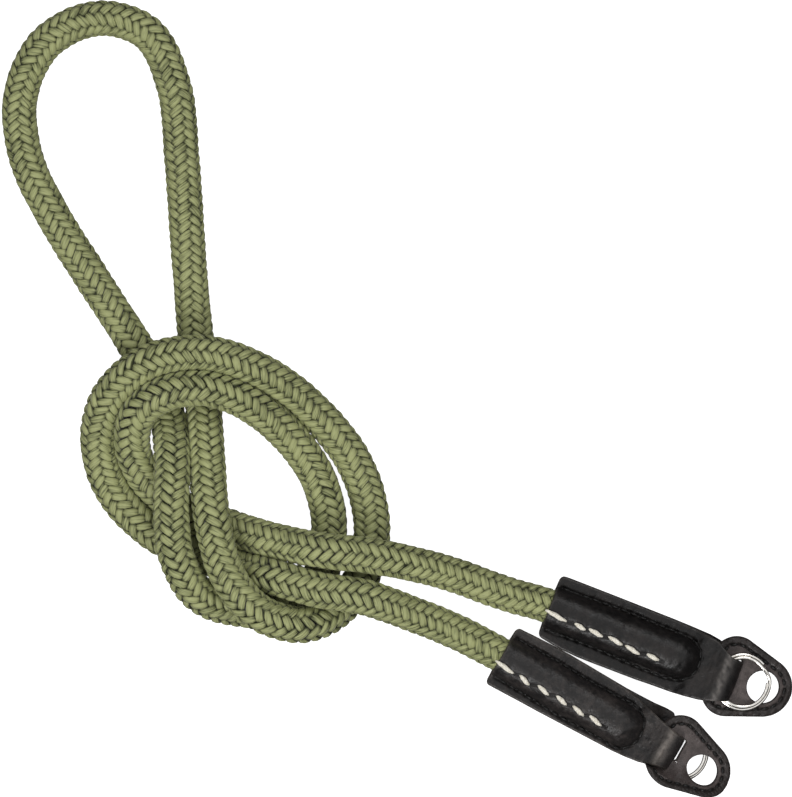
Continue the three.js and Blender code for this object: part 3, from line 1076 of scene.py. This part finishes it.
        # Pale rims along the edges and the mouth: burnished wear with a painted highlight.
        rim = np.exp(-((gap / 0.4) ** 2)) + np.exp(-((along / 0.4) ** 2))[:, None] * flat[:, None]
        # The tongue's crest: pale streaked wear that also paints the crest's highlight.
        streaks = 0.7 + 0.3 * ripple(reach[:, None] * 0.8 + 0.3 * aside, aside * 0.9, 1.9, self.seed + 8)
        worn = np.exp(-(((reach - 53.4) / 1.05) ** 2))[:, None] * streaks * (phase > -0.2)[:, None]
        rim = np.clip(0.35 * rim + self.worn * worn, 0, 1) * outside[None, :]
        # Painted shade at the fold's end and along the roll after the crest.
        fold_end = np.exp(-(((reach - self.length) / 0.5) ** 2))[:, None] * ~flat[:, None]
        over_edge = (phase > 0)[:, None] & outside[None, :]
        roll = 0.55 * np.exp(-(((reach - 55.9) / 0.9) ** 2))[:, None] * over_edge
        hollow = np.maximum(hollow, np.maximum(fold_end, roll))
        return Patch(points, values={"rim": rim, "hollow": hollow})

    def top(self, along: np.ndarray, aside: np.ndarray) -> np.ndarray:
        """Height over the floor of the upper layer's skin at places on it."""
        return self.middle(along) + self.height(along, aside)

    def hand_stitches(self) -> list[Patch]:
        """The white stitches: spindles that rise out of one needle hole and sink into the next."""
        made = []
        for i, (start, aside, end, far) in enumerate(self.stitches):
            share = np.linspace(0, 1, 26)
            along = start + (end - start) * share
            across = aside + (far - aside) * ease(0, 1, share)
            rise = 0.66 * np.sin(np.pi * share) ** 0.5 - 0.26
            height = self.top(along, across) + rise
            line = self.place.to_strap(np.stack([along, across, height], -1))
            made.append(spindle(line, 0.66 * MM, 0.5 * MM, 3, 14, i * 5.3 + self.seed))
        return made

    def edge_stitches(self) -> list[Patch]:
        """The black stitches in the groove round the bulge, one for each pitch of the seam."""
        seam = self.seam(900)
        steps = np.concatenate([[0], np.cumsum(np.linalg.norm(np.diff(seam, axis=0), axis=1))])
        made = []
        for i in range(int(steps[-1] / self.edge_pitch)):
            reach = (i + np.linspace(0.1, 0.9, 9)) * self.edge_pitch
            along, aside = (np.interp(reach, steps, seam[:, k]) for k in range(2))
            share = np.linspace(0, 1, 9)
            height = self.top(along, aside) - self.groove_depth + 0.3 * np.sin(np.pi * share) - 0.05
            line = self.place.to_strap(np.stack([along, aside, height], -1))
            made.append(spindle(line, 0.36 * MM, 0.3 * MM, 2, 8, i * 1.7))
        return made

    def build(
        self, leather: bpy.types.Material, white: bpy.types.Material, black: bpy.types.Material
    ) -> list[bpy.types.Object]:
        """Builds the sleeve and its stitches.

        Args:
            leather: The sleeve's material.
            white: The hand stitches' material.
            black: The edge stitches' material.

        Returns:
            The sleeve's pieces.
        """
        name = f"sleeve_{self.name}"
        hide = Skin(f"{name}_leather", [self.skin()]).build(leather, Slot.SLEEVE)
        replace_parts(hide, name)
        return [
            hide,
            Skin(f"{name}_hand_stitches", self.hand_stitches()).build(white, Slot.HAND_THREAD),
            Skin(f"{name}_edge_stitches", self.edge_stitches()).build(black, Slot.EDGE_THREAD),
        ]


@dataclass(frozen=True)
class Held:
    """How a guard and a ring lie in the tongue's fold: turned down about a pivot to the floor.

    Attributes:
        place: The fitting's place.
        tilt: Degrees by which they point down.
        pivot: Place of the pivot along the sleeve, in millimetres.
        high: The pivot's height, in millimetres.
    """

    place: Place
    tilt: float
    pivot: float = 51.875
    high: float = 1.75

    def to_strap(self, points: np.ndarray) -> np.ndarray:
        """Points in the held pieces' own millimetres, as metres in the strap's frame."""
        c, s = math.cos(math.radians(self.tilt)), math.sin(math.radians(self.tilt))
        x, y, z = points[..., 0], points[..., 1], points[..., 2]
        turned = np.stack([x * c + z * s + self.pivot, y, z * c - x * s + self.high], -1)
        return self.place.to_strap(turned)


@dataclass
class Guard:
    """A pear-shaped leather ring guard with a stitched groove inside its rounded rim.

    Its sizes are millimetres from the middle of its base.

    Attributes:
        name: The guard's letter.
        held: How it lies.
        along: Its base along the held pieces' frame.
        up: Its underside's height in that frame.
        seed: Chooses its soft dents.
        slot_wide: Its slot's width.
        slot_right: How far its slot reaches to the right.
        turn: Degrees by which it is turned about its base, to the left.
        curl: Degrees by which its right half is bent up.
    """

    name: str
    held: Held
    along: float
    up: float
    seed: int
    slot_wide: float
    slot_right: float
    turn: float
    curl: float
    thick: float = 1.8
    corner_radius: float = 7.0
    half_width: float = 11.8
    tip_radius: float = 8.6
    hole_from_base: float = 16.7
    hole_radius: float = 4.65
    slot_start: float = 5.4
    slot_left: float = 5.3
    rim: float = 0.9
    groove_inset: float = 2.4
    groove_depth: float = 0.5
    groove_wide: float = 0.42
    band: float = 3.3
    lip: float = 0.42
    pitch: float = 2.6

    def outline(self, inset: np.ndarray | float, count: int) -> np.ndarray:
        """The pear's outline moved inwards: arcs about the two corners and the tip, joined by tangents.

        Each point is a centre plus the radius, less the inset, in the direction of an angle. On an
        arc only the angle changes, and on a straight stretch only the centre and the radius do.

        Args:
            inset: How far inside the rim.
            count: Number of points.

        Returns:
            Points as rows of along and aside.
        """
        aside = self.half_width - self.corner_radius
        way = math.hypot(self.hole_from_base - self.corner_radius, aside)
        side = math.atan2(-aside, self.hole_from_base - self.corner_radius)
        side += math.acos((self.corner_radius - self.tip_radius) / way)
        corner, tip = self.corner_radius, self.hole_from_base
        knots = np.array([
            [corner, -aside, corner, np.pi],
            [corner, aside, corner, np.pi],
            [corner, aside, corner, side],
            [tip, 0, self.tip_radius, side],
            [tip, 0, self.tip_radius, -side],
            [corner, -aside, corner, -side],
            [corner, -aside, corner, -np.pi],
        ])
        ends = knots[:, :2] + knots[:, 2:3] * np.stack([np.cos(knots[:, 3]), np.sin(knots[:, 3])], -1)
        steps = np.linalg.norm(np.diff(ends, axis=0), axis=1)
        turns = np.abs(np.diff(knots[:, 3])) * knots[1:, 2]
        lengths = np.concatenate([[0], np.cumsum(np.where(turns > 1e-9, turns, steps))])
        even = np.linspace(0, lengths[-1], count, endpoint=False)
        x, y, radius, angle = (np.interp(even, lengths, knots[:, i]) for i in range(4))
        reach = radius - inset
        return np.stack([x + reach * np.cos(angle), y + reach * np.sin(angle)], -1)

    def slot_outline(self, outset: float, count: int) -> np.ndarray:
        """The slot's outline moved outwards: a rectangle with small round corners."""
        radius = 0.5
        middle = self.slot_start + self.slot_wide / 2
        angle = np.linspace(0, 2 * np.pi, count, endpoint=False)
        half = np.array([self.slot_wide, self.slot_left + self.slot_right]) / 2 - radius
        edge = np.stack([np.cos(angle), np.sin(angle)], -1)
        scale = 1 / np.maximum(np.abs(edge / (half + radius)).max(-1), 1e-9)
        spot = edge * scale[:, None]
        core = np.clip(spot, -half, half)
        aside = (self.slot_left - self.slot_right) / 2
        return core + unit(spot - core) * (radius + outset) + np.array([middle, aside])

    def hole_outline(self, outset: float, count: int) -> np.ndarray:
        """The hole's outline moved outwards: a circle."""
        angle = np.linspace(0, 2 * np.pi, count, endpoint=False)
        edge = np.stack([np.cos(angle), np.sin(angle)], -1) * (self.hole_radius + outset)
        return edge + np.array([self.hole_from_base, 0])

    def settle(self, flat: np.ndarray, height: np.ndarray) -> np.ndarray:
        """Plan points and heights as points in the strap's frame, with dents, the turn and the curl.

        The curl lifts what lies right of the middle by its distance times the sine of the angle, and
        draws it in by the distance times one less the cosine. The distance starts softly.

        Args:
            flat: Plan points, as rows of along and aside.
            height: Their heights over the underside.

        Returns:
            The points in metres.
        """
        x, y = flat[..., 0], flat[..., 1]
        bend = 0.12 * ripple(x, y, 11.0, self.seed) + 0.06 * ripple(x, y, 2.4, self.seed + 1)
        angle = math.radians(self.curl)
        right = (np.sqrt(y * y + 6.0) - y) / 2
        start = np.maximum(ease(5.0, 12.0, x), ease(5.5, 8.5, -y))
        lift = right * start
        z = height + bend + self.up + lift * math.sin(angle)
        y = y + lift * (1 - math.cos(angle))
        c, s = math.cos(math.radians(self.turn)), math.sin(math.radians(self.turn))
        return self.held.to_strap(np.stack([x * c - y * s + self.along, x * s + y * c, z], -1))

    def band_patch(self, count: int = 260) -> Patch:
        """The rim and the stitched band: the outline carried over a half round, a groove and a flat."""
        over = np.linspace(0, np.pi / 2, 7)
        insets = np.concatenate([self.rim * (1 - np.cos(over)), np.linspace(self.rim, self.band, 19)[1:]])
        rise = np.concatenate([np.sin(over), np.ones(18)]) * self.thick / 2
        pillow = 0.2 * np.exp(-(((insets - 1.4) / 0.6) ** 2))
        bell = np.exp(-(((insets - self.groove_inset) / self.groove_wide) ** 2))
        all_insets = np.concatenate([insets[::-1], insets[1:]])
        over_top = np.arange(len(all_insets)) < len(insets)
        flat = np.stack([self.outline(inset, count) for inset in all_insets])
        stitches = self.stitch_count()
        needle = np.cos(2 * np.pi * stitches * np.arange(count) / count)
        pinch = 0.8 + 0.35 * needle
        wrinkle = ripple(flat[..., 0], flat[..., 1], 1.5, self.seed + 4)
        top = self.thick / 2 + rise + pillow
        heights = np.concatenate([top[::-1], self.thick / 2 - rise[1:]])
        # Painted shade in the guard's stitched groove, darker at each needle hole.
        hollow = np.concatenate([bell[::-1], bell[1:] * 0])[:, None] * pinch.clip(0, 1)
        outer = np.concatenate([ease(self.groove_inset + 0.3, self.groove_inset - 0.5, insets)[::-1],
                                bell[1:] * 0 + 1])
        crumple = 0.13 * wrinkle * (outer * over_top)[:, None]
        height = heights[:, None] - self.groove_depth * hollow + crumple
        rim = np.broadcast_to(0.9 * outer[:, None], height.shape)
        return Patch(self.settle(flat, height), capped=False, values={"rim": rim, "hollow": hollow})

    def stitch_count(self) -> int:
        """How many stitches go round the groove."""
        loop = self.outline(self.groove_inset, 600)
        return int(np.linalg.norm(np.roll(loop, -1, 0) - loop, axis=1).sum() / self.pitch)

    def lip_patch(self, outline: Any, count: int) -> Patch:
        """The edge of a hole: its outline carried down over a half round.

        Args:
            outline: The function that gives the hole's outline for an outset.
            count: Points round it.

        Returns:
            The lip's surface.
        """
        over = np.linspace(np.pi / 2, -np.pi / 2, 11)
        outsets = self.lip * (1 - np.cos(over))
        heights = self.thick / 2 + np.sign(np.sin(over)) * np.abs(np.sin(over)) ** 0.6 * self.thick / 2
        flat = np.stack([outline(outset, count) for outset in outsets])
        height = np.broadcast_to(heights[:, None], flat.shape[:2])
        rim = np.broadcast_to(0.6 * (np.cos(over).clip(0, 1) ** 0.5)[:, None], height.shape)
        return Patch(self.settle(flat, height), capped=False, values={"rim": rim, "hollow": rim * 0})

    def plate(self, counts: tuple[int, int, int]) -> tuple[np.ndarray, np.ndarray]:
        """The flat between band, slot and hole, cut into even triangles.

        Args:
            counts: Points on the band's, the slot's and the hole's outline.

        Returns:
            Plan points, and triangles as rows of point numbers.
        """
        loops = [
            self.outline(self.band, counts[0]),
            self.slot_outline(self.lip, counts[1]),
            self.hole_outline(self.lip, counts[2]),
        ]
        x, y = np.meshgrid(np.arange(2.5, 24, 0.9), np.arange(-10, 10.1, 0.9))
        spare = np.stack([x.ravel(), y.ravel()], -1)
        far = np.min([np.linalg.norm(spare[:, None] - loop[None], axis=-1).min(1) for loop in loops], 0)
        spare = spare[(far > 0.5) & self.inside(spare, loops[0]) & ~self.in_gap(spare)]
        points = np.concatenate([*loops, spare])
        edges, first = [], 0
        for loop in loops:
            number = np.arange(len(loop))
            edges += (np.stack([number, (number + 1) % len(loop)], -1) + first).tolist()
            first += len(loop)
        found = delaunay_2d_cdt(points.tolist(), edges, [], 0, 1e-6)
        flat = np.array([list(p) for p in found[0]])
        triangles = np.array(found[2])
        centre = flat[triangles].mean(1)
        return flat, triangles[self.inside(centre, loops[0]) & ~self.in_gap(centre)]

    def in_gap(self, spots: np.ndarray) -> np.ndarray:
        """Whether plan points lie in the slot or the hole."""
        slot = np.abs(spots[:, 0] - self.slot_start - self.slot_wide / 2) < self.slot_wide / 2 + self.lip
        slot &= (spots[:, 1] < self.slot_left + self.lip) & (spots[:, 1] > -self.slot_right - self.lip)
        hole = np.hypot(spots[:, 0] - self.hole_from_base, spots[:, 1]) < self.hole_radius + self.lip
        return slot | hole

    @staticmethod
    def inside(spots: np.ndarray, loop: np.ndarray) -> np.ndarray:
        """Whether plan points lie inside a loop without hollows, by the sign of each side's turn."""
        way = np.roll(loop, -1, 0) - loop
        to = spots[:, None] - loop[None]
        turn = way[None, :, 0] * to[..., 1] - way[None, :, 1] * to[..., 0]
        return (turn <= 1e-9).all(1) | (turn >= -1e-9).all(1)

    def stitches(self) -> list[Patch]:
        """The black stitches along the groove."""
        loop = self.outline(self.groove_inset, 1200)
        loop = np.concatenate([loop, loop[:1]])
        steps = np.concatenate([[0], np.cumsum(np.linalg.norm(np.diff(loop, axis=0), axis=1))])
        count = self.stitch_count()
        made = []
        for i in range(count):
            share = np.linspace(0, 1, 9)
            reach = (i + 0.14 + 0.72 * share) * steps[-1] / count
            flat = np.stack([np.interp(reach, steps, loop[:, k]) for k in range(2)], -1)
            height = self.thick - 0.55 * self.groove_depth + 0.34 * np.sin(np.pi * share) - 0.04
            made.append(spindle(self.settle(flat, height), 0.38 * MM, 0.3 * MM, 2, 8, i * 1.3))
        return made

    def build(self, leather: bpy.types.Material, black: bpy.types.Material) -> list[bpy.types.Object]:
        """Builds the guard and its stitches.

        Args:
            leather: The guard's material.
            black: The stitches' material.

        Returns:
            The guard's pieces.
        """
        name = f"guard_{self.name}"
        counts = (260, 96, 88)
        skin = Skin(f"{name}_leather", [
            self.band_patch(counts[0]),
            self.lip_patch(self.slot_outline, counts[1]),
            self.lip_patch(self.hole_outline, counts[2]),
        ])
        flat, triangles = self.plate(counts)
        for height in (self.thick, 0.0):
            spot = self.settle(flat, np.full(len(flat), height))
            skin.patches.append(Sheet(spot[None], triangles))
        hide = skin.build(leather, Slot.GUARD, merge=0.004 * MM)
        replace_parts(hide, name)
        return [hide, Skin(f"{name}_stitches", self.stitches()).build(black, Slot.EDGE_THREAD)]


class Sheet(Patch):
    """A patch of loose triangles instead of a grid."""

    def __init__(self, points: np.ndarray, triangles: np.ndarray) -> None:
        """Keeps the points and the triangles.

        Args:
            points: One row of points, in metres.
            triangles: Rows of three point numbers.
        """
        flat = np.zeros(points.shape[:2])
        super().__init__(points, values={"rim": flat, "hollow": flat})
        self.triangles = triangles

    def faces(self) -> list[list[int]]:
        """The triangles as lists of point numbers."""
        return self.triangles.tolist()


@dataclass
class Ring:
    """A split ring: a flat wire carried round twice, with its step up between the turns.

    Its sizes are millimetres from its own middle.

    Attributes:
        name: The ring's letter.
        held: How it lies.
        centre: Its middle in the held pieces' frame: along, aside and up.
        turn: Degrees by which its wire's start is turned.
    """

    name: str
    held: Held
    centre: tuple[float, float, float]
    turn: float
    outer_radius: float = 8.35
    wire_wide: float = 1.06
    wire_high: float = 0.85
    turn_gap: float = 0.05
    turn_aside: float = 0.76
    step_angle: float = 40.0

    def wire(self) -> Patch:
        """The wire: a rounded flat section carried along two turns of a circle with a smooth step."""
        step = math.radians(self.step_angle)
        whole = 4 * math.pi - step
        angle = np.linspace(0, whole, 480)
        climb = ease((whole - step) / 2, (whole + step) / 2, angle)
        up = climb * (self.wire_high + self.turn_gap)
        phi = np.linspace(0, 2 * np.pi, 14, endpoint=False)
        power = 1.0
        within = np.sign(np.cos(phi)) * np.abs(np.cos(phi)) ** power * self.wire_wide / 2
        tall = np.sign(np.sin(phi)) * np.abs(np.sin(phi)) ** power * self.wire_high / 2
        end = np.minimum(angle, whole - angle) * self.outer_radius
        taper = 1 - 0.45 * (1 - np.clip(end / 0.45, 0, 1)) ** 2
        middle = self.outer_radius - self.wire_wide / 2 - self.turn_aside * climb
        radius = middle[:, None] - within[None, :] * taper[:, None]
        around = angle[:, None] + math.radians(self.turn)
        height = self.wire_high / 2 + up[:, None] + tall[None, :] * taper[:, None] + self.centre[2]
        points = np.stack([
            radius * np.cos(around) + self.centre[0], radius * np.sin(around) + self.centre[1], height,
        ], -1)
        travelled = np.broadcast_to(angle[:, None] * self.outer_radius, height.shape)
        across = np.broadcast_to(within[None, :], height.shape)
        lay = np.stack([across, travelled, height], -1)
        return Patch(self.held.to_strap(points), values={"lay": lay})

    def build(self, steel: bpy.types.Material) -> bpy.types.Object:
        """Builds the ring in a material."""
        made = Skin(f"ring_{self.name}_wire", [self.wire()]).build(steel, Slot.STEEL)
        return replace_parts(made, f"ring_{self.name}")


@dataclass
class Studio:
    """A pale floor, soft lights round it and a camera that looks straight down.

    Attributes:
        aim: The point of the surface in the middle of the view, in millimetres.
        view: Width that the view's longer side takes in, in millimetres.
        lens: Focal length in millimetres.
        sensor: Sensor's longer side in millimetres.
    """

    aim: tuple[float, float] = (-69.4, 83.0)
    view: float = 227.71
    lens: float = 200.0
    sensor: float = 36.0
    rope_middle: float = 6.0

    def camera(self) -> None:
        """The camera, as far up as its lens needs for the view."""
        data = bpy.data.cameras.new("camera")
        data.lens, data.sensor_width = self.lens, self.sensor
        data.clip_start, data.clip_end = 0.01, 20.0
        camera = bpy.data.objects.new("camera", data)
        bpy.context.scene.collection.objects.link(camera)
        up = self.view * self.lens / self.sensor + self.rope_middle
        camera.location = (self.aim[0] * MM, self.aim[1] * MM, up * MM)
        bpy.context.scene.camera = camera

    def floor(self) -> None:
        """The floor: a wide pale sheet under the strap."""
        half = 4.0
        spread = np.array([-half, half])
        x, y = np.meshgrid(spread, spread)
        points = np.stack([x, y, np.full(x.shape, -0.02 * MM)], -1)
        mesh = bpy.data.meshes.new("floor")
        mesh.from_pydata(points.reshape(-1, 3).tolist(), [], [[0, 1, 3, 2]])
        white = (1.0, 1.0, 1.0)
        graph = Graph(
            "pale_floor", base_color=(0.5, 0.5, 0.5), roughness=0.9, specular_ior_level=0.0,
            emission_color=white, emission_strength=1.0,
        )
        mesh.materials.append(graph.material)
        floor = bpy.data.objects.new("floor", mesh)
        floor.visible_diffuse = False
        floor.visible_glossy = False
        bpy.context.scene.collection.objects.link(floor)

    def light(self, name: str, place: Colour, size: float, power: float) -> None:
        """One soft square light that looks at the strap.

        Args:
            name: Its name.
            place: Where it hangs, in metres.
            size: Its side in metres.
            power: Its power in watts.
        """
        data = bpy.data.lights.new(name, "AREA")
        data.shape, data.size, data.energy = "SQUARE", size, power
        light = bpy.data.objects.new(name, data)
        bpy.context.scene.collection.objects.link(light)
        aim = np.array([self.aim[0] * MM, self.aim[1] * MM, 0.0])
        way = Vector(aim - np.array(place))
        light.location = place
        light.rotation_euler = way.to_track_quat("-Z", "Y").to_euler()

    def build(self) -> None:
        """Makes the floor, the sky and the lights."""
        self.floor()
        world = bpy.data.worlds.new("studio")
        bpy.context.scene.world = world
        world.use_nodes = True
        sky = world.node_tree.nodes["Background"]
        sky.inputs["Color"].default_value = (1.0, 1.0, 1.0, 1.0)
        sky.inputs["Strength"].default_value = 0.05
        x, y = self.aim[0] * MM, self.aim[1] * MM
        self.light("light_top", (x, y + 0.1, 1.6), 3.2, 27.0)
        self.light("light_back", (x + 0.35, y + 0.8, 0.75), 0.5, 3.0)
        self.light("light_front", (x - 0.3, y - 0.8, 0.75), 0.4, 6.0)
        self.light("light_right", (x + 0.9, y - 0.1, 0.5), 0.4, 0.6)
        self.light("light_left", (x - 0.9, y + 0.1, 0.5), 0.4, 0.6)
        bpy.context.scene.view_settings.view_transform = "Standard"


SLEEVE_LEATHER = LeatherFinish(
    "sleeve_leather", (0.005, 0.0045, 0.0045), (0.0185, 0.015, 0.014), (0.17, 0.155, 0.145),
    0.4, 0.04, 0.07 * MM, 0.2 * MM,
)
GREY_LEATHER = LeatherFinish(
    "sleeve_leather_greyer", (0.0135, 0.0123, 0.0123), (0.043, 0.036, 0.0335), (0.21, 0.185, 0.165),
    0.4, 0.03, 0.09 * MM, 0.26 * MM,
)
GUARD_LEATHER = LeatherFinish(
    "guard_leather", (0.05, 0.04, 0.038), (0.1, 0.082, 0.078), (0.015, 0.0127, 0.012),
    0.46, 0.03, 0.08 * MM, 0.2 * MM,
)
WHITE_THREAD = ThreadFinish("white_thread", (0.95, 0.92, 0.84), (0.62, 0.57, 0.45), 0.5)
BLACK_THREAD = ThreadFinish("black_thread", (0.01, 0.009, 0.009), (0.002, 0.002, 0.002), 0.45)

PLACE_A = Place((-25.7, 23.7), -21.5)
PLACE_B = Place((-39.4, 9.7), -30.0)

SLEEVE_A = Sleeve(
    "a", PLACE_A,
    upper=((0, 9.5), (3, 9.65), (17, 9.7), (35, 9.65), (41, 9.4), (45, 9.0), (48, 8.6), (50, 7.9),
           (52.5, 6.3), (54.3, 5.5), (57.8, 5.3)),
    lower=((0, 9.0), (4, 9.8), (8, 10.3), (13, 10.6), (17, 10.6), (31, 10.45), (35, 10.25),
           (41, 10.1), (45, 9.85), (49, 9.35), (51, 8.9), (53, 8.2), (55.5, 7.3), (57.8, 6.7)),
    under=((0, 9.5), (3, 9.65), (17, 9.7), (35, 9.7), (41, 9.6), (46, 9.4), (50, 8.8), (52.5, 6.6),
           (54.3, 5.5), (57.8, 5.3)),
    stitches=(
        (-0.9, -1.2, 6.0, -2.0), (8.3, -1.7, 11.8, -2.3), (12.6, -1.7, 17.1, -2.3),
        (18.6, -1.7, 23.2, -2.4), (24.0, -2.3, 28.7, -3.1), (30.6, -2.3, 34.4, -2.7),
    ),
    seed=3, creased=0.06, worn=0.85,
)
SLEEVE_B = Sleeve(
    "b", PLACE_B,
    upper=((0, 9.2), (3, 9.35), (5, 9.5), (11, 9.8), (17, 10.0), (23, 10.0), (29, 9.9), (36, 9.7),
           (40, 9.0), (43.4, 8.2), (49.7, 6.7), (53.6, 5.8), (57.8, 5.5)),
    lower=((0, 9.2), (3, 9.1), (11, 8.85), (17, 8.7), (25, 8.4), (33, 8.1), (41, 7.8), (45, 7.5),
           (49, 6.9), (51, 6.3), (54.3, 5.2), (57.8, 5.0)),
    under=((0, 9.2), (3, 9.35), (5, 9.5), (11, 9.8), (17, 10.0), (36, 9.8), (45, 10.1), (49, 10.4),
           (51.4, 10.4), (52.6, 9.3), (54.6, 5.8), (57.8, 5.5)),
    stitches=(
        (-0.9, -1.9, 5.4, -2.5), (7.2, -2.1, 10.9, -3.1), (13.1, -2.0, 17.1, -2.8),
        (19.1, -1.9, 22.9, -2.7), (24.6, -2.1, 28.7, -2.9), (30.1, -2.1, 34.4, -2.9),
    ),
    seed=11, creased=0.11, worn=0.9,
)
HELD_A = Held(PLACE_A, 4.56)
HELD_B = Held(PLACE_B, 6.62)
GUARDS = (
    Guard("a", HELD_A, -2.875, 0.0, 21, slot_wide=3.2, slot_right=5.3, turn=2.5, curl=0.0),
    Guard("b", HELD_B, -2.6, 2.0, 33, slot_wide=3.28, slot_right=1.3, turn=-0.8, curl=40.0),
)
RINGS = (
    Ring("a", HELD_A, (7.625, 0.0, 2.1), 60.0),
    Ring("b", HELD_B, (6.825, 1.2, 0.0), 200.0),
)
ROPE_EXIT = (12.5, 0.0, 6.3)


def main() -> None:
    """Builds the camera, the rope, the fittings and the studio."""
    logging.basicConfig(level=logging.INFO, format="%(message)s")
    studio = Studio()
    studio.camera()
    shown = Centreline(moved_aside(ROPE_ROUTE, LIES_ASIDE), 5 * MM)
    rope = Rope(shown, Centreline(ROPE_ROUTE, 5 * MM))
    rope.build(PLACE_A.to_strap(np.array(ROPE_EXIT)))
    guard_leather = GUARD_LEATHER.material()
    white, black = WHITE_THREAD.material(), BLACK_THREAD.material()
    for sleeve, finish in ((SLEEVE_A, SLEEVE_LEATHER), (SLEEVE_B, GREY_LEATHER)):
        sleeve.build(finish.material(), white, black)
    for guard in GUARDS:
        guard.build(guard_leather, black)
    steel = SteelFinish().material()
    for ring in RINGS:
        ring.build(steel)
    studio.build()


if __name__ == "__main__":
    main()
